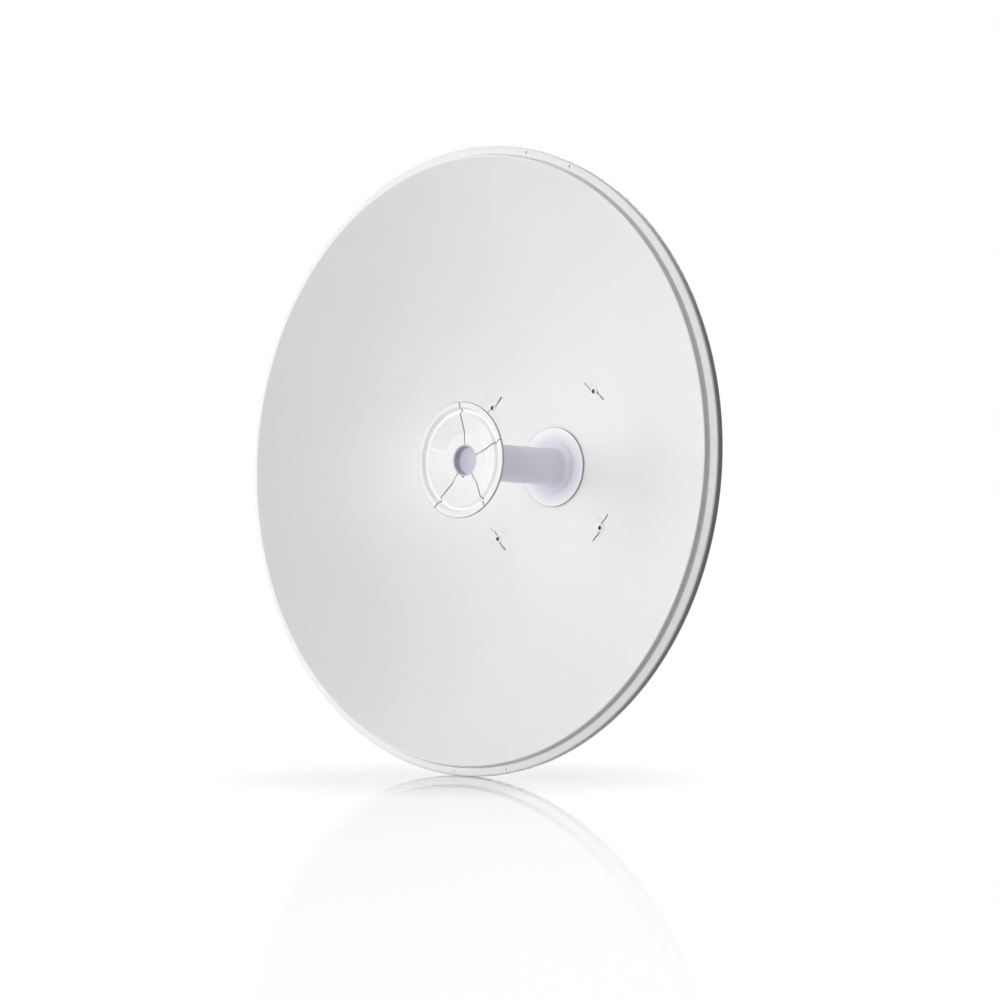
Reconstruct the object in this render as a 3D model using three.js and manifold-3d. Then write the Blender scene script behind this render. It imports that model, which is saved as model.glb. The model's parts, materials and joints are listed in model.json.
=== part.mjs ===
// Outdoor point-to-point radio bridge: parabolic dish with an integrated radio, and its pole mount.
// Millimetres, +Z up. The dish looks along -Y. The origin is on the axis of the pole that carries it.
import * as THREE from 'three';
import { mergeVertices } from 'three/addons/utils/BufferGeometryUtils.js';
import Module from 'manifold-3d';

const wasm = await Module();
wasm.setup();

// ---- driving dimensions -------------------------------------------------------------------------
const GAP = 0.3;                 // clearance between pieces that touch
const DISH_RADIUS = 325;         // outside of the rim
const FOCAL_LENGTH = 160;
const SHEET = 1.5;               // dish sheet thickness
const VERTEX_Y = -131.5;         // inner surface of the dish on its axis
const HUB_HOLE = 20.6;           // hole in the dish for the feed tube
const BOLT_CIRCLE = 102.6;       // radius on which the four bracket bolts stand
const BOLT_TURN = 48.3;          // angle of the first bracket bolt, degrees from +X
const FEED_LENGTH = 152.2;       // dish vertex to the front edge of the sub-reflector
const TUBE_RADIUS = 19.7;
const CAP_RADIUS = 60.3;
const COLLAR_RADIUS = 43.2;
const HOUSING_RADIUS = 57;
const HOUSING_REAR_Y = -92;
const PIVOT_Y = -66;             // elevation pivot
const EAR_X = 62.5;              // inner face of the dish frame's ears
const EAR_THICK = 4;
const CHEEK_THICK = 3;
const WEB_Y = -40;               // front face of the pole bracket's web
const POLE_REST = 50;            // pole diameter at which the clamps are shown
const CLAMP_Z = 38;              // height of each clamp above and below the pole bracket's middle
const CLAMP_BOLT_X = 48;
const CLAMP_BOLT_END = 95;
const M8 = 4;                    // shank radii
const M5 = 2.5;
const M4 = 2;
const RIM_SEGMENTS = 40;
const LARGE_ROUND = 28;         // facets around housings, collars and tubes
const SMALL_ROUND = 10;          // facets around bolts and their holes

// ---- materials ----------------------------------------------------------------------------------
const finish = (color, roughness, metalness) =>
  new THREE.MeshStandardMaterial({ color, roughness, metalness });
const MATERIALS = {
  dish_paint: finish('#eceef0', 0.38, 0.1),
  white_plastic: finish('#f6f6f8', 0.42, 0.0),
  tube_plastic: finish('#c3c2d0', 0.45, 0.0),
  grey_plastic: finish('#b9bcc2', 0.5, 0.0),
  black_plastic: finish('#1b1c1e', 0.5, 0.0),
  rubber: finish('#2a2b2d', 0.8, 0.0),
  steel: finish('#b4b7bb', 0.32, 1.0),
  bracket_zinc: finish('#a9adb2', 0.42, 0.9),
  cast_alloy: finish('#c9ccd0', 0.45, 0.6),
  circuit_green: finish('#1d5b3a', 0.5, 0.0),
  light_pipe: finish('#dff3ff', 0.2, 0.0),
};

// ---- geometry helpers ---------------------------------------------------------------------------
function solidOf(geometry) {
  const bare = geometry.clone();
  bare.deleteAttribute('normal');
  bare.deleteAttribute('uv');
  const merged = mergeVertices(bare, 1e-4);
  const vertProperties = new Float32Array(merged.attributes.position.array);
  const kept = [];
  const index = merged.index.array;
  let volume = 0;
  const corner = (i) => new THREE.Vector3().fromArray(vertProperties, 3 * i);
  for (let i = 0; i < index.length; i += 3) {
    const [a, b, c] = [index[i], index[i + 1], index[i + 2]];
    if (a === b || b === c || c === a) continue;
    kept.push([a, b, c]);
    volume += corner(a).dot(corner(b).cross(corner(c)));
  }
  const triVerts = new Uint32Array(kept.flatMap(([a, b, c]) => (volume < 0 ? [a, c, b] : [a, b, c])));
  return new wasm.Manifold(new wasm.Mesh({ numProp: 3, vertProperties, triVerts }));
}

function geometryOf(solid) {
  const mesh = solid.getMesh();
  const geometry = new THREE.BufferGeometry();
  geometry.setAttribute('position', new THREE.BufferAttribute(new Float32Array(mesh.vertProperties), 3));
  geometry.setIndex(new THREE.BufferAttribute(new Uint32Array(mesh.triVerts), 1));
  return geometry;
}

// A body of revolution about the Y axis. Each point is [radius, y].
function turned(points, segments) {
  return new THREE.LatheGeometry(points.map(([r, y]) => new THREE.Vector2(r, y)), segments);
}

function ring(inner, outer, y0, y1, segments) {
  return turned([[inner, y0], [outer, y0], [outer, y1], [inner, y1], [inner, y0]], segments);
}

function rod(radius, y0, y1, segments) {
  return turned([[0, y0], [radius, y0], [radius, y1], [0, y1]], segments);
}

function moved(geometry, x, y, z) {
  return geometry.clone().translate(x, y, z);
}

function box(x0, x1, y0, y1, z0, z1) {
  const block = new THREE.BoxGeometry(x1 - x0, y1 - y0, z1 - z0);
  return moved(block, (x0 + x1) / 2, (y0 + y1) / 2, (z0 + z1) / 2);
}

function polygon(points) {
  return new THREE.Shape(points.map(([x, y]) => new THREE.Vector2(x, y)));
}

// An outline in X and Z, extruded from y0 to y1.
function facingY(shape, y0, y1, curveSegments = 3) {
  const slab = new THREE.ExtrudeGeometry(shape, { depth: y1 - y0, bevelEnabled: false, curveSegments });
  return slab.rotateX(Math.PI / 2).translate(0, y1, 0);
}

// An outline in Y and Z, extruded from x0 to x1.
function facingX(shape, x0, x1, curveSegments = 6) {
  const slab = new THREE.ExtrudeGeometry(shape, { depth: x1 - x0, bevelEnabled: false, curveSegments });
  return slab.applyMatrix4(new THREE.Matrix4().set(0, 0, 1, x0, 1, 0, 0, 0, 0, 1, 0, 0, 0, 0, 0, 1));
}

// An outline in X and Y, extruded from z0 to z1.
function facingZ(shape, z0, z1, curveSegments = 6) {
  const slab = new THREE.ExtrudeGeometry(shape, { depth: z1 - z0, bevelEnabled: false, curveSegments });
  return slab.translate(0, 0, z0);
}

function roundedRectangle(halfX, halfZ, radius) {
  const shape = new THREE.Shape();
  shape.moveTo(-halfX + radius, -halfZ);
  shape.lineTo(halfX - radius, -halfZ);
  shape.absarc(halfX - radius, -halfZ + radius, radius, -Math.PI / 2, 0, false);
  shape.lineTo(halfX, halfZ - radius);
  shape.absarc(halfX - radius, halfZ - radius, radius, 0, Math.PI / 2, false);
  shape.lineTo(-halfX + radius, halfZ);
  shape.absarc(-halfX + radius, halfZ - radius, radius, Math.PI / 2, Math.PI, false);
  shape.lineTo(-halfX, -halfZ + radius);
  shape.absarc(-halfX + radius, -halfZ + radius, radius, Math.PI, 1.5 * Math.PI, false);
  return shape;
}

function join(geometries) {
  return geometries.map(solidOf).reduce((a, b) => a.add(b));
}

function cut(solid, geometries) {
  return geometries.map(solidOf).reduce((a, b) => a.subtract(b), solid);
}

const part = new THREE.Group();

function addPiece(name, shape, material) {
  const solid = shape.isBufferGeometry ? solidOf(shape) : shape;
  const mesh = new THREE.Mesh(geometryOf(solid), MATERIALS[material]);
  mesh.name = name;
  part.add(mesh);
}

// Turns a piece that lies along Y so that it lies along X, through the point (y, z).
function acrossX(geometry, y, z) {
  return geometry.clone().rotateZ(-Math.PI / 2).translate(0, y, z);
}

// A flanged hex nut lying along Y, with its flange at y0.
function hexNut(shank, y0, height) {
  const across = shank * 1.65;
  const corner = across / Math.cos(Math.PI / 6);
  const body = turned([[0, y0 + 1.2], [corner, y0 + 1.2], [corner, y0 + height], [0, y0 + height]], 6);
  const flange = rod(across * 1.28, y0, y0 + 1.5, 14);
  return geometryOf(cut(join([body, flange]), [rod(shank + GAP, y0 - 5, y0 + height + 5, SMALL_ROUND)]));
}

// A hex bolt lying along Y: its head's rear face is at y0 and its shank ends at y1.
function hexBolt(shank, y0, y1) {
  const corner = (shank * 1.65) / Math.cos(Math.PI / 6);
  const head = turned([[0, y0 - shank * 1.35], [corner, y0 - shank * 1.35], [corner, y0], [0, y0]], 6);
  const stem = turned([
    [0, y0 - 1], [shank, y0 - 1], [shank, y1 - 1], [shank - 0.8, y1], [0, y1],
  ], SMALL_ROUND);
  return geometryOf(join([head, stem]));
}

// A domed bolt lying along Y: its head's rear face is at y0 and its shank ends at y1.
function domedBolt(shank, y0, y1) {
  return turned([
    [0, y0 - shank * 1.1], [shank * 0.9, y0 - shank * 0.95], [shank * 1.55, y0 - shank * 0.5],
    [shank * 1.75, y0], [shank, y0], [shank, y1 - 1], [shank - 0.7, y1], [0, y1],
  ], SMALL_ROUND);
}

const paraboloidDepth = (r) => (r * r) / (4 * FOCAL_LENGTH);
const boltPlaces = [0, 90, 180, 270].map((turn) => {
  const angle = THREE.MathUtils.degToRad(BOLT_TURN + turn);
  return [BOLT_CIRCLE * Math.cos(angle), BOLT_CIRCLE * Math.sin(angle)];
});
const squareCorners = (half) => [[half, half], [-half, half], [-half, -half], [half, -half]];

// ---- reflector ----------------------------------------------------------------------------------
// Spun sheet: a parabola, a rolled front lip, a wall that steps back to a flat flange, and a skirt.
const LIP_DEPTH = 154;           // depths are in front of the vertex
const FLANGE_DEPTH = 147;
const SKIRT_DEPTH = 138.8;
const PARABOLA_END = 309;
const PARABOLA_STEPS = 7;

function parabolaPoints(offset) {
  const points = [];
  for (let i = 0; i <= PARABOLA_STEPS; i += 1) {
    const r = HUB_HOLE + ((PARABOLA_END - HUB_HOLE) * i) / PARABOLA_STEPS;
    const slope = Math.atan(r / (2 * FOCAL_LENGTH));
    const radius = i === 0 ? r : r + offset * Math.sin(slope);
    points.push([radius, paraboloidDepth(r) - offset * Math.cos(slope)]);
  }
  return points;
}

const rimPoints = [
  [311.8, 152.5], [313.5, LIP_DEPTH], [315, 152.8], [316.4, 148.4], [317.6, FLANGE_DEPTH],
  [323.6, FLANGE_DEPTH], [DISH_RADIUS, 145.6], [DISH_RADIUS, SKIRT_DEPTH], [323.6, SKIRT_DEPTH],
  [323.4, 145], [315.4, 145.4], [313.4, 151.2], [311.5, 150],
];

const PAD_RADIUS = 10;
const PAD_DEPTH = 16.4;          // front face of a bolt pad
const dishProfile = [
  ...parabolaPoints(0),
  ...rimPoints,
  ...parabolaPoints(SHEET).reverse(),
];
dishProfile.push(dishProfile[0]);
const dishShell = solidOf(turned(dishProfile.map(([r, d]) => [r, VERTEX_Y - d]), RIM_SEGMENTS));

function overBolts(geometry) {
  return boltPlaces.map(([x, z]) => moved(geometry, x, 0, z));
}

const padFrontY = VERTEX_Y - PAD_DEPTH;
const padBackY = padFrontY + 3;
const padBosses = overBolts(rod(PAD_RADIUS, padFrontY, padBackY, 16)).map(solidOf);
const padded = padBosses.reduce((a, b) => a.add(b), dishShell);
// A thin slit runs each way from every bolt, a little further out on its lower side.
const SLIT_LENGTH = 17;
const SLIT_WIDTH = 1.5;
const SLIT_SHIFT = 1.9;
const slits = boltPlaces.flatMap(([x, z]) => [-1, 1].map((side) => {
  const outward = (Math.sign(x) * side < 0 ? 1 : -1) * SLIT_SHIFT;
  const slit = box(-SLIT_WIDTH / 2, SLIT_WIDTH / 2, padFrontY - 12, padBackY + 12, 0, side * SLIT_LENGTH);
  return slit.translate(BOLT_CIRCLE + outward, 0, 0).rotateY(-Math.atan2(z, x));
}));
const RIM_HOLE_RADIUS = 1.7;
const RIM_HOLE_CIRCLE = 320.6;
const rimHoleAngles = [74, 63, -79, -92].map((a) => THREE.MathUtils.degToRad(a));
const rimHole = rod(RIM_HOLE_RADIUS, VERTEX_Y - FLANGE_DEPTH - 5, VERTEX_Y - FLANGE_DEPTH + 5, 8);
const rimHoles = rimHoleAngles.map((a) =>
  moved(rimHole, RIM_HOLE_CIRCLE * Math.cos(a), 0, RIM_HOLE_CIRCLE * Math.sin(a)));
const reflector = cut(padded, [
  ...overBolts(rod(PAD_RADIUS - 0.6, padFrontY - 8, padFrontY, 16)),
  ...overBolts(rod(PAD_RADIUS - 0.6, padBackY, padBackY + 8, 16)),
  ...overBolts(rod(M5 + 0.5, padFrontY - 8, padBackY + 8, SMALL_ROUND)),
  ...slits,
  ...rimHoles,
]);
addPiece('reflector', reflector, 'dish_paint');

// ---- feed ---------------------------------------------------------------------------------------
const collarFrontY = VERTEX_Y - 4.2;
const collarBackY = (r) => VERTEX_Y - paraboloidDepth(r) - 3 * GAP;
addPiece('feed_collar', turned([
  [TUBE_RADIUS + 0.5, collarBackY(0)], [28, collarBackY(28)], [COLLAR_RADIUS - 1, collarFrontY + 0.5],
  [COLLAR_RADIUS, collarFrontY + 0.3], [COLLAR_RADIUS, collarFrontY - 0.5],
  [COLLAR_RADIUS - 0.6, collarFrontY - 1], [31, collarFrontY - 1], [TUBE_RADIUS + 0.5, collarFrontY - 1],
  [TUBE_RADIUS + 0.5, collarBackY(0)],
], LARGE_ROUND), 'white_plastic');

// The cap is a stepped bowl of even thickness. Depth runs from its front edge back to the dish.
const CAP_THICK = 2;
const CAP_HOLE = 16.3;
const CAP_FLOOR = 7.8;
const capFrontY = VERTEX_Y - FEED_LENGTH;
const capSteps = [
  [CAP_HOLE, CAP_FLOOR], [28.6, CAP_FLOOR], [47, 1.7], [48, 1.9], [50.2, 5.9], [51, 5.9], [54.3, 0.7],
  [59.6, 0],
];
const capFace = (offset) => capSteps.map(([r, d]) => [r, capFrontY + d + offset]);
const capBack = [
  [CAP_RADIUS, 0.6], [CAP_RADIUS, 1.9], [55.6, 2.6], [52.1, 5.9 + CAP_THICK], [49.2, 5.9 + CAP_THICK],
  [46.9, 1.7 + CAP_THICK], [28.9, CAP_FLOOR + CAP_THICK], [CAP_HOLE, CAP_FLOOR + CAP_THICK],
  [CAP_HOLE, CAP_FLOOR],
].map(([r, d]) => [r, capFrontY + d]);
const capBody = solidOf(turned([...capFace(0), ...capBack], LARGE_ROUND));
const GROOVE_HALF = 0.7;
const GROOVE_DEPTH = 1;
const grooveBand = solidOf(turned([...capFace(-3), [CAP_RADIUS + 2, capFrontY - 3],
  [CAP_RADIUS + 2, capFrontY + GROOVE_DEPTH], ...capFace(GROOVE_DEPTH).reverse(),
  [CAP_HOLE, capFrontY + CAP_FLOOR - 3]], LARGE_ROUND));
const capGrooves = [90, 18, -54, -126, 162].map((degrees) => {
  const slab = box(CAP_HOLE + 2, CAP_RADIUS + 1, capFrontY - 5, capFrontY + 25, -GROOVE_HALF, GROOVE_HALF);
  return solidOf(slab.rotateY(-THREE.MathUtils.degToRad(degrees))).intersect(grooveBand);
});
const drainNotch = moved(rod(2, capFrontY, capFrontY + 30, 8), -0.14 * CAP_HOLE, 0, -CAP_HOLE);
const feedCap = cut(capGrooves.reduce((a, b) => a.subtract(b), capBody), [drainNotch]);
addPiece('feed_cap', feedCap, 'white_plastic');

// Aluminium splash plate nested behind the cap's cone.
const plateFront = (r, d) => [r, capFrontY + d + CAP_THICK + GAP];
const platePoints = [[20.6, CAP_FLOOR], [29.2, CAP_FLOOR], [46.2, 2.3]];
addPiece('splash_plate', turned([
  ...platePoints.map(([r, d]) => plateFront(r, d)),
  ...platePoints.map(([r, d]) => plateFront(r, d + 1.2)).reverse(),
  plateFront(20.6, CAP_FLOOR),
], LARGE_ROUND), 'cast_alloy');

const tubeFrontY = capFrontY + CAP_FLOOR + CAP_THICK + GAP;
const tubeFootY = collarFrontY - 1 - GAP;
const tubeEndY = -126;
addPiece('feed_tube', turned([
  [TUBE_RADIUS, tubeFrontY], [TUBE_RADIUS, tubeFootY - 10], [TUBE_RADIUS + 1.4, tubeFootY - 5],
  [TUBE_RADIUS + 4.2, tubeFootY - 1.6], [TUBE_RADIUS + 8, tubeFootY], [TUBE_RADIUS, tubeFootY],
  [TUBE_RADIUS, tubeEndY], [TUBE_RADIUS - 2.4, tubeEndY], [TUBE_RADIUS - 2.4, tubeFrontY],
  [TUBE_RADIUS, tubeFrontY],
], 24), 'tube_plastic');

// Cup that closes the tube's front end and shows through the cap.
const PLUG_FLOOR = 16;
addPiece('tube_end_cup', turned([
  [0, PLUG_FLOOR], [14.9, PLUG_FLOOR], [14.9, CAP_FLOOR + GAP], [CAP_HOLE - GAP, CAP_FLOOR + GAP],
  [CAP_HOLE - GAP, CAP_FLOOR + CAP_THICK + GAP],
  [16.9, CAP_FLOOR + CAP_THICK + GAP], [16.9, PLUG_FLOOR + 2],
  [0, PLUG_FLOOR + 2],
].map(([r, d]) => [r, capFrontY + d]), LARGE_ROUND), 'tube_plastic');

// Circular waveguide inside the tube, and the dielectric plug in its mouth.
const guideFrontY = capFrontY + 52;
addPiece('waveguide', ring(13, 15, guideFrontY, -119, 24), 'cast_alloy');
addPiece('dielectric_plug', turned([
  [0, guideFrontY - 28], [6, guideFrontY - 26], [14.6, guideFrontY - 3], [14.6, guideFrontY - GAP],
  [12.6, guideFrontY - GAP], [12.6, guideFrontY + 8], [0, guideFrontY + 24],
], 16), 'white_plastic');

// Lock ring and gasket that clamp the tube and collar to the dish.
addPiece('feed_gasket', ring(TUBE_RADIUS + 0.6, 26, -129.4, -128, 24), 'rubber');
const lockRing = cut(solidOf(ring(TUBE_RADIUS + 0.5, 27.5, -127.7, -122, 24)),
  [0, 60, 120].map((a) => box(-40, 40, -124, -120, -1.5, 1.5).rotateY(THREE.MathUtils.degToRad(a))));
addPiece('feed_lock_ring', lockRing, 'grey_plastic');

// ---- dish frame: alloy casting behind the dish --------------------------------------------------
const FRAME_FRONT_Y = -128;
const FRAME_REAR_Y = -120;
const FRAME_HALF = 88;
const FRAME_LIP = 4;
const BOSS_RADIUS = PAD_RADIUS - 1.2;
const LOCK_DROP = 28;            // the lock bolt sits this far below the pivot
const EAR_END = 14;              // radius of the ear's end around each bolt
const frameOutline = roundedRectangle(FRAME_HALF, FRAME_HALF, 14);
const framePlate = facingY(frameOutline, FRAME_FRONT_Y, FRAME_REAR_Y);
const frameLip = cut(solidOf(facingY(frameOutline, FRAME_FRONT_Y - FRAME_LIP, FRAME_FRONT_Y + 1)), [
  facingY(roundedRectangle(FRAME_HALF - FRAME_LIP, FRAME_HALF - FRAME_LIP, 10),
    FRAME_FRONT_Y - 2 * FRAME_LIP, FRAME_FRONT_Y),
]);
const bosses = overBolts(rod(BOSS_RADIUS, padBackY + GAP, FRAME_REAR_Y, 14));
const earOutline = new THREE.Shape();
earOutline.moveTo(FRAME_REAR_Y - 2, -50);
earOutline.absarc(PIVOT_Y, -LOCK_DROP, EAR_END, -0.6 * Math.PI, 0, false);
earOutline.absarc(PIVOT_Y, 0, EAR_END, 0, 0.6 * Math.PI, false);
earOutline.lineTo(FRAME_REAR_Y - 2, 34);
const rightEar = facingX(earOutline, EAR_X, EAR_X + EAR_THICK);
const leftEar = moved(rightEar, -2 * EAR_X - EAR_THICK, 0, 0);
const rightGusset = facingZ(polygon([
  [EAR_X + 2, FRAME_REAR_Y - 2], [FRAME_HALF - 3, FRAME_REAR_Y - 2], [EAR_X + 2, FRAME_REAR_Y + 24],
]), -2.5, 2.5);
const leftGusset = rightGusset.clone().rotateY(Math.PI);
const gussets = [-26, 18].flatMap((z) => [moved(rightGusset, 0, 0, z), moved(leftGusset, 0, 0, z)]);
const housingBore = rod(HOUSING_RADIUS + 3, -150, -110, LARGE_ROUND);
const frameBody = cut(join([framePlate, ...bosses]).add(frameLip), [housingBore]);
const boltBore = rod(M8 + 0.4, -90, 90, SMALL_ROUND);
const TAB_SQUARE = 48;           // half the side of the square of housing screws
const screwHole = rod(M4 + GAP, -140, -100, SMALL_ROUND);
const screwHoles = squareCorners(TAB_SQUARE).map(([x, z]) => moved(screwHole, x, 0, z));
const GROUND_X = 40;
const GROUND_Z = -74;
addPiece('dish_frame', cut(frameBody.add(join([rightEar, leftEar, ...gussets])), [
  ...overBolts(rod(M5 + 0.4, -160, -100, SMALL_ROUND)),
  acrossX(boltBore, PIVOT_Y, 0),
  acrossX(boltBore, PIVOT_Y, -LOCK_DROP),
  ...screwHoles,
  moved(rod(M5 + GAP, -140, -110, SMALL_ROUND), GROUND_X, 0, GROUND_Z),
]), 'cast_alloy');

for (const [i, [x, z]] of boltPlaces.entries()) {
  addPiece(`bracket_bolt_${i + 1}`, moved(domedBolt(M5, padFrontY - GAP, -110), x, 0, z), 'steel');
  addPiece(`bracket_nut_${i + 1}`, moved(hexNut(M5, FRAME_REAR_Y + GAP, 6), x, 0, z), 'steel');
}
const GROUND_SCREW_LENGTH = 10;
const groundScrew = hexBolt(M5, 0, GROUND_SCREW_LENGTH).rotateX(Math.PI);
const groundWasher = ring(M5 + GAP, 6, FRAME_REAR_Y + GAP, FRAME_REAR_Y + 1.5, 18);
addPiece('ground_screw', moved(groundScrew, GROUND_X, FRAME_REAR_Y + 1.8, GROUND_Z), 'steel');
addPiece('ground_washer', moved(groundWasher, GROUND_X, 0, GROUND_Z), 'steel');

// ---- radio housing ------------------------------------------------------------------------------
const BASE_FRONT_Y = -121.7;
const COVER_FRONT_Y = -116.9;
const PORT_X = 18;               // half width of the hood around the port
const PORT_FLOOR_Z = -76;
const tabOutline = roundedRectangle(9, 9, 8.9);
const tabs = (y0, y1) => squareCorners(TAB_SQUARE - 2).map(([x, z]) =>
  moved(facingY(tabOutline, y0, y1), x, 0, z));
const BASE_RADIUS = HOUSING_RADIUS + 1.6;
const baseTabs = join(tabs(FRAME_REAR_Y + GAP, COVER_FRONT_Y - GAP)).subtract(solidOf(
  rod(HOUSING_RADIUS, -125, -110, LARGE_ROUND)));
const baseParts = [
  rod(BASE_RADIUS, BASE_FRONT_Y, BASE_FRONT_Y + 2.5, LARGE_ROUND),
  ring(HOUSING_RADIUS - 0.1, BASE_RADIUS, BASE_FRONT_Y, COVER_FRONT_Y - GAP, LARGE_ROUND),
  ring(48.5, 51, BASE_FRONT_Y + 2, BASE_FRONT_Y + 7.5, LARGE_ROUND),
  ...squareCorners(32).map(([x, z]) => moved(rod(3.2, BASE_FRONT_Y + 2, -106.3 - GAP, 10), x, 0, z)),
];
const baseBody = cut(join(baseParts).add(baseTabs), [rod(15.6, -140, -100, 24), ...screwHoles]);
const gasketRing = ring(51.4, 56.4, BASE_FRONT_Y + 2.8, COVER_FRONT_Y - GAP, LARGE_ROUND);
addPiece('radio_base', baseBody, 'grey_plastic');
addPiece('housing_gasket', gasketRing, 'rubber');

const coverOuter = turned([
  [0, COVER_FRONT_Y], [HOUSING_RADIUS, COVER_FRONT_Y], [HOUSING_RADIUS, HOUSING_REAR_Y - 4],
  [HOUSING_RADIUS - 1.2, HOUSING_REAR_Y - 1.2], [HOUSING_RADIUS - 4, HOUSING_REAR_Y],
  [0, HOUSING_REAR_Y],
], LARGE_ROUND);
const hoodOuter = box(-PORT_X, PORT_X, COVER_FRONT_Y + 1, HOUSING_REAR_Y - 1, PORT_FLOOR_Z, -45);
const HINGE_Y = HOUSING_REAR_Y + 2;
const HINGE_Z = PORT_FLOOR_Z - 1.6;
const BUTTON_X = 22;
const PANEL_Z = -34;             // height of the button, indicator and vent on the rear face
const hingeBarrel = (x0, x1, radius) => acrossX(rod(radius, x0, x1, 12), HINGE_Y, HINGE_Z);
const hingeLug = (x0, x1) => box(x0, x1, HINGE_Y - 6, HINGE_Y, PORT_FLOOR_Z + 0.1, PORT_FLOOR_Z + 5);
const coverBody = cut(join([coverOuter, hoodOuter]), [
  rod(HOUSING_RADIUS - 2.6, COVER_FRONT_Y - 5, HOUSING_REAR_Y - 3, LARGE_ROUND),
  box(-PORT_X + 2.5, PORT_X - 2.5, COVER_FRONT_Y + 3.4, HOUSING_REAR_Y - 3.5, PORT_FLOOR_Z - 1, -40),
]);
const coverTabs = join(tabs(COVER_FRONT_Y, COVER_FRONT_Y + 2.5)).subtract(solidOf(
  rod(HOUSING_RADIUS - 1, COVER_FRONT_Y - 5, COVER_FRONT_Y + 20, LARGE_ROUND)));
addPiece('radio_cover', cut(coverBody.add(coverTabs).add(join([
  hingeBarrel(-PORT_X, -PORT_X + 7, 2.8), hingeBarrel(PORT_X - 7, PORT_X, 2.8),
  hingeLug(-PORT_X, -PORT_X + 7), hingeLug(PORT_X - 7, PORT_X),
])), [
  ...screwHoles,
  hingeBarrel(-PORT_X - 5, PORT_X + 5, 1.5),
  box(-12.3, 12.3, -100, -80, PANEL_Z - 2.3, PANEL_Z + 2.3),
  moved(rod(3.4, -100, -80, SMALL_ROUND), BUTTON_X, 0, PANEL_Z),
  moved(rod(4.3, -100, -80, SMALL_ROUND), -BUTTON_X, 0, PANEL_Z),
]), 'white_plastic');
for (const [i, [x, z]] of squareCorners(TAB_SQUARE).entries()) {
  const screw = domedBolt(M4, 0, 11).rotateX(Math.PI);
  addPiece(`housing_screw_${i + 1}`, moved(screw, x, COVER_FRONT_Y + 2.5 + GAP, z), 'steel');
}

addPiece('radio_board', cut(solidOf(rod(46.5, -106.3, -104.7, LARGE_ROUND)), [
  box(-60, 60, -110, -100, -60, -44.5),
]), 'circuit_green');
addPiece('rf_shield', cut(solidOf(box(-27, 27, -113, -106.6, 18.5, 34)), [
  box(-26.2, 26.2, -112.2, -100, 19.3, 33.2),
]), 'steel');
addPiece('feed_probe', rod(1, -119, -106.6, 10), 'steel');
const fins = [-24, -16, -8, 0, 8, 16, 24].map((x) => box(x - 1, x + 1, -102, -97, -18, 34));
addPiece('heat_spreader', join([box(-28, 28, -104.4, -101.9, -20, 36), ...fins]), 'cast_alloy');
addPiece('ethernet_jack', cut(solidOf(box(-8, 8, -110.2, -97.8, -66, -45)), [
  box(-6, 6, -108.4, -100.6, -70, -50),
]), 'black_plastic');
addPiece('led_window', box(-12, 12, -96.5, -91.6, PANEL_Z - 2, PANEL_Z + 2), 'light_pipe');
addPiece('reset_button', moved(turned([
  [0, -97.2], [4.4, -97.2], [4.4, -95.3], [3, -95.3], [3, -91.6], [2.6, -91.2], [0, -91.2],
], 16), BUTTON_X, 0, PANEL_Z), 'grey_plastic');
addPiece('vent_plug', moved(turned([
  [0, -97], [4, -97], [4, -91.7], [6.2, -91.7], [6.2, -90.4], [5.4, -89.8], [0, -89.8],
], 18), -BUTTON_X, 0, PANEL_Z), 'black_plastic');

// Port door: a flap with a cable grommet, hinged on a pin at the rear of the hood.
const DOOR_TOP_Z = PORT_FLOOR_Z - GAP;
const doorPlate = box(-PORT_X, PORT_X, COVER_FRONT_Y + 1, HINGE_Y - 3.6, DOOR_TOP_Z - 2.6, DOOR_TOP_Z);
const doorArm = box(-PORT_X + 7.5, PORT_X - 7.5, HINGE_Y - 5, HINGE_Y, DOOR_TOP_Z - 2.6, DOOR_TOP_Z);
const GROMMET_Y = -104.6;
const alongZ = (geometry, y) => geometry.clone().rotateX(Math.PI / 2).translate(0, y, 0);
addPiece('port_door', cut(join([doorPlate, doorArm, hingeBarrel(-PORT_X + 7.5, PORT_X - 7.5, 2.6)]), [
  hingeBarrel(-PORT_X - 5, PORT_X + 5, 1.5),
  alongZ(rod(5.3, -100, -60, 18), GROMMET_Y),
]), 'white_plastic');
addPiece('door_pin', hingeBarrel(-PORT_X - 0.6, PORT_X + 0.6, 1.2), 'steel');
const grommetTop = DOOR_TOP_Z + GAP + 1.6;
const grommetBottom = DOOR_TOP_Z - 2.6 - GAP - 1.8;
addPiece('cable_grommet', moved(turned([
  [0, grommetTop - 1], [3, grommetTop - 1], [3.4, grommetTop], [6.6, grommetTop], [6.6, DOOR_TOP_Z + GAP],
  [5, DOOR_TOP_Z + GAP], [5, DOOR_TOP_Z - 2.6 - GAP], [7, DOOR_TOP_Z - 2.6 - GAP],
  [5.4, grommetBottom], [3.4, grommetBottom], [3, grommetBottom + 1.2], [0, grommetBottom + 1.2],
], 18).rotateX(Math.PI / 2), 0, GROMMET_Y, 0), 'rubber');

// ---- pole bracket -------------------------------------------------------------------------------
const BRACKET_HALF_Z = 55;
const CHEEK_OUT = EAR_X - 0.5;
const TILT_UP = 30;              // degrees each way from level
const TILT_DOWN = 15;
const FLANGE_X = 36;
const VEE_TOOTH = 5.6;           // pitch of the gripping teeth along the vee
const TOOTH_HEIGHT = 1.5;

// Half of a toothed vee whose tooth tips touch a pole of the rest diameter, from its mouth to its apex.
function veeFlank() {
  const reach = POLE_REST / 2;
  const points = [];
  for (let along = reach - 3; along > -reach + VEE_TOOTH; along -= VEE_TOOTH) {
    points.push([along, reach], [along - VEE_TOOTH / 2, reach + TOOTH_HEIGHT]);
  }
  const half = Math.SQRT1_2;
  return points.map(([along, out]) => [(along + out) * half, (along - out) * half]);
}

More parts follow.
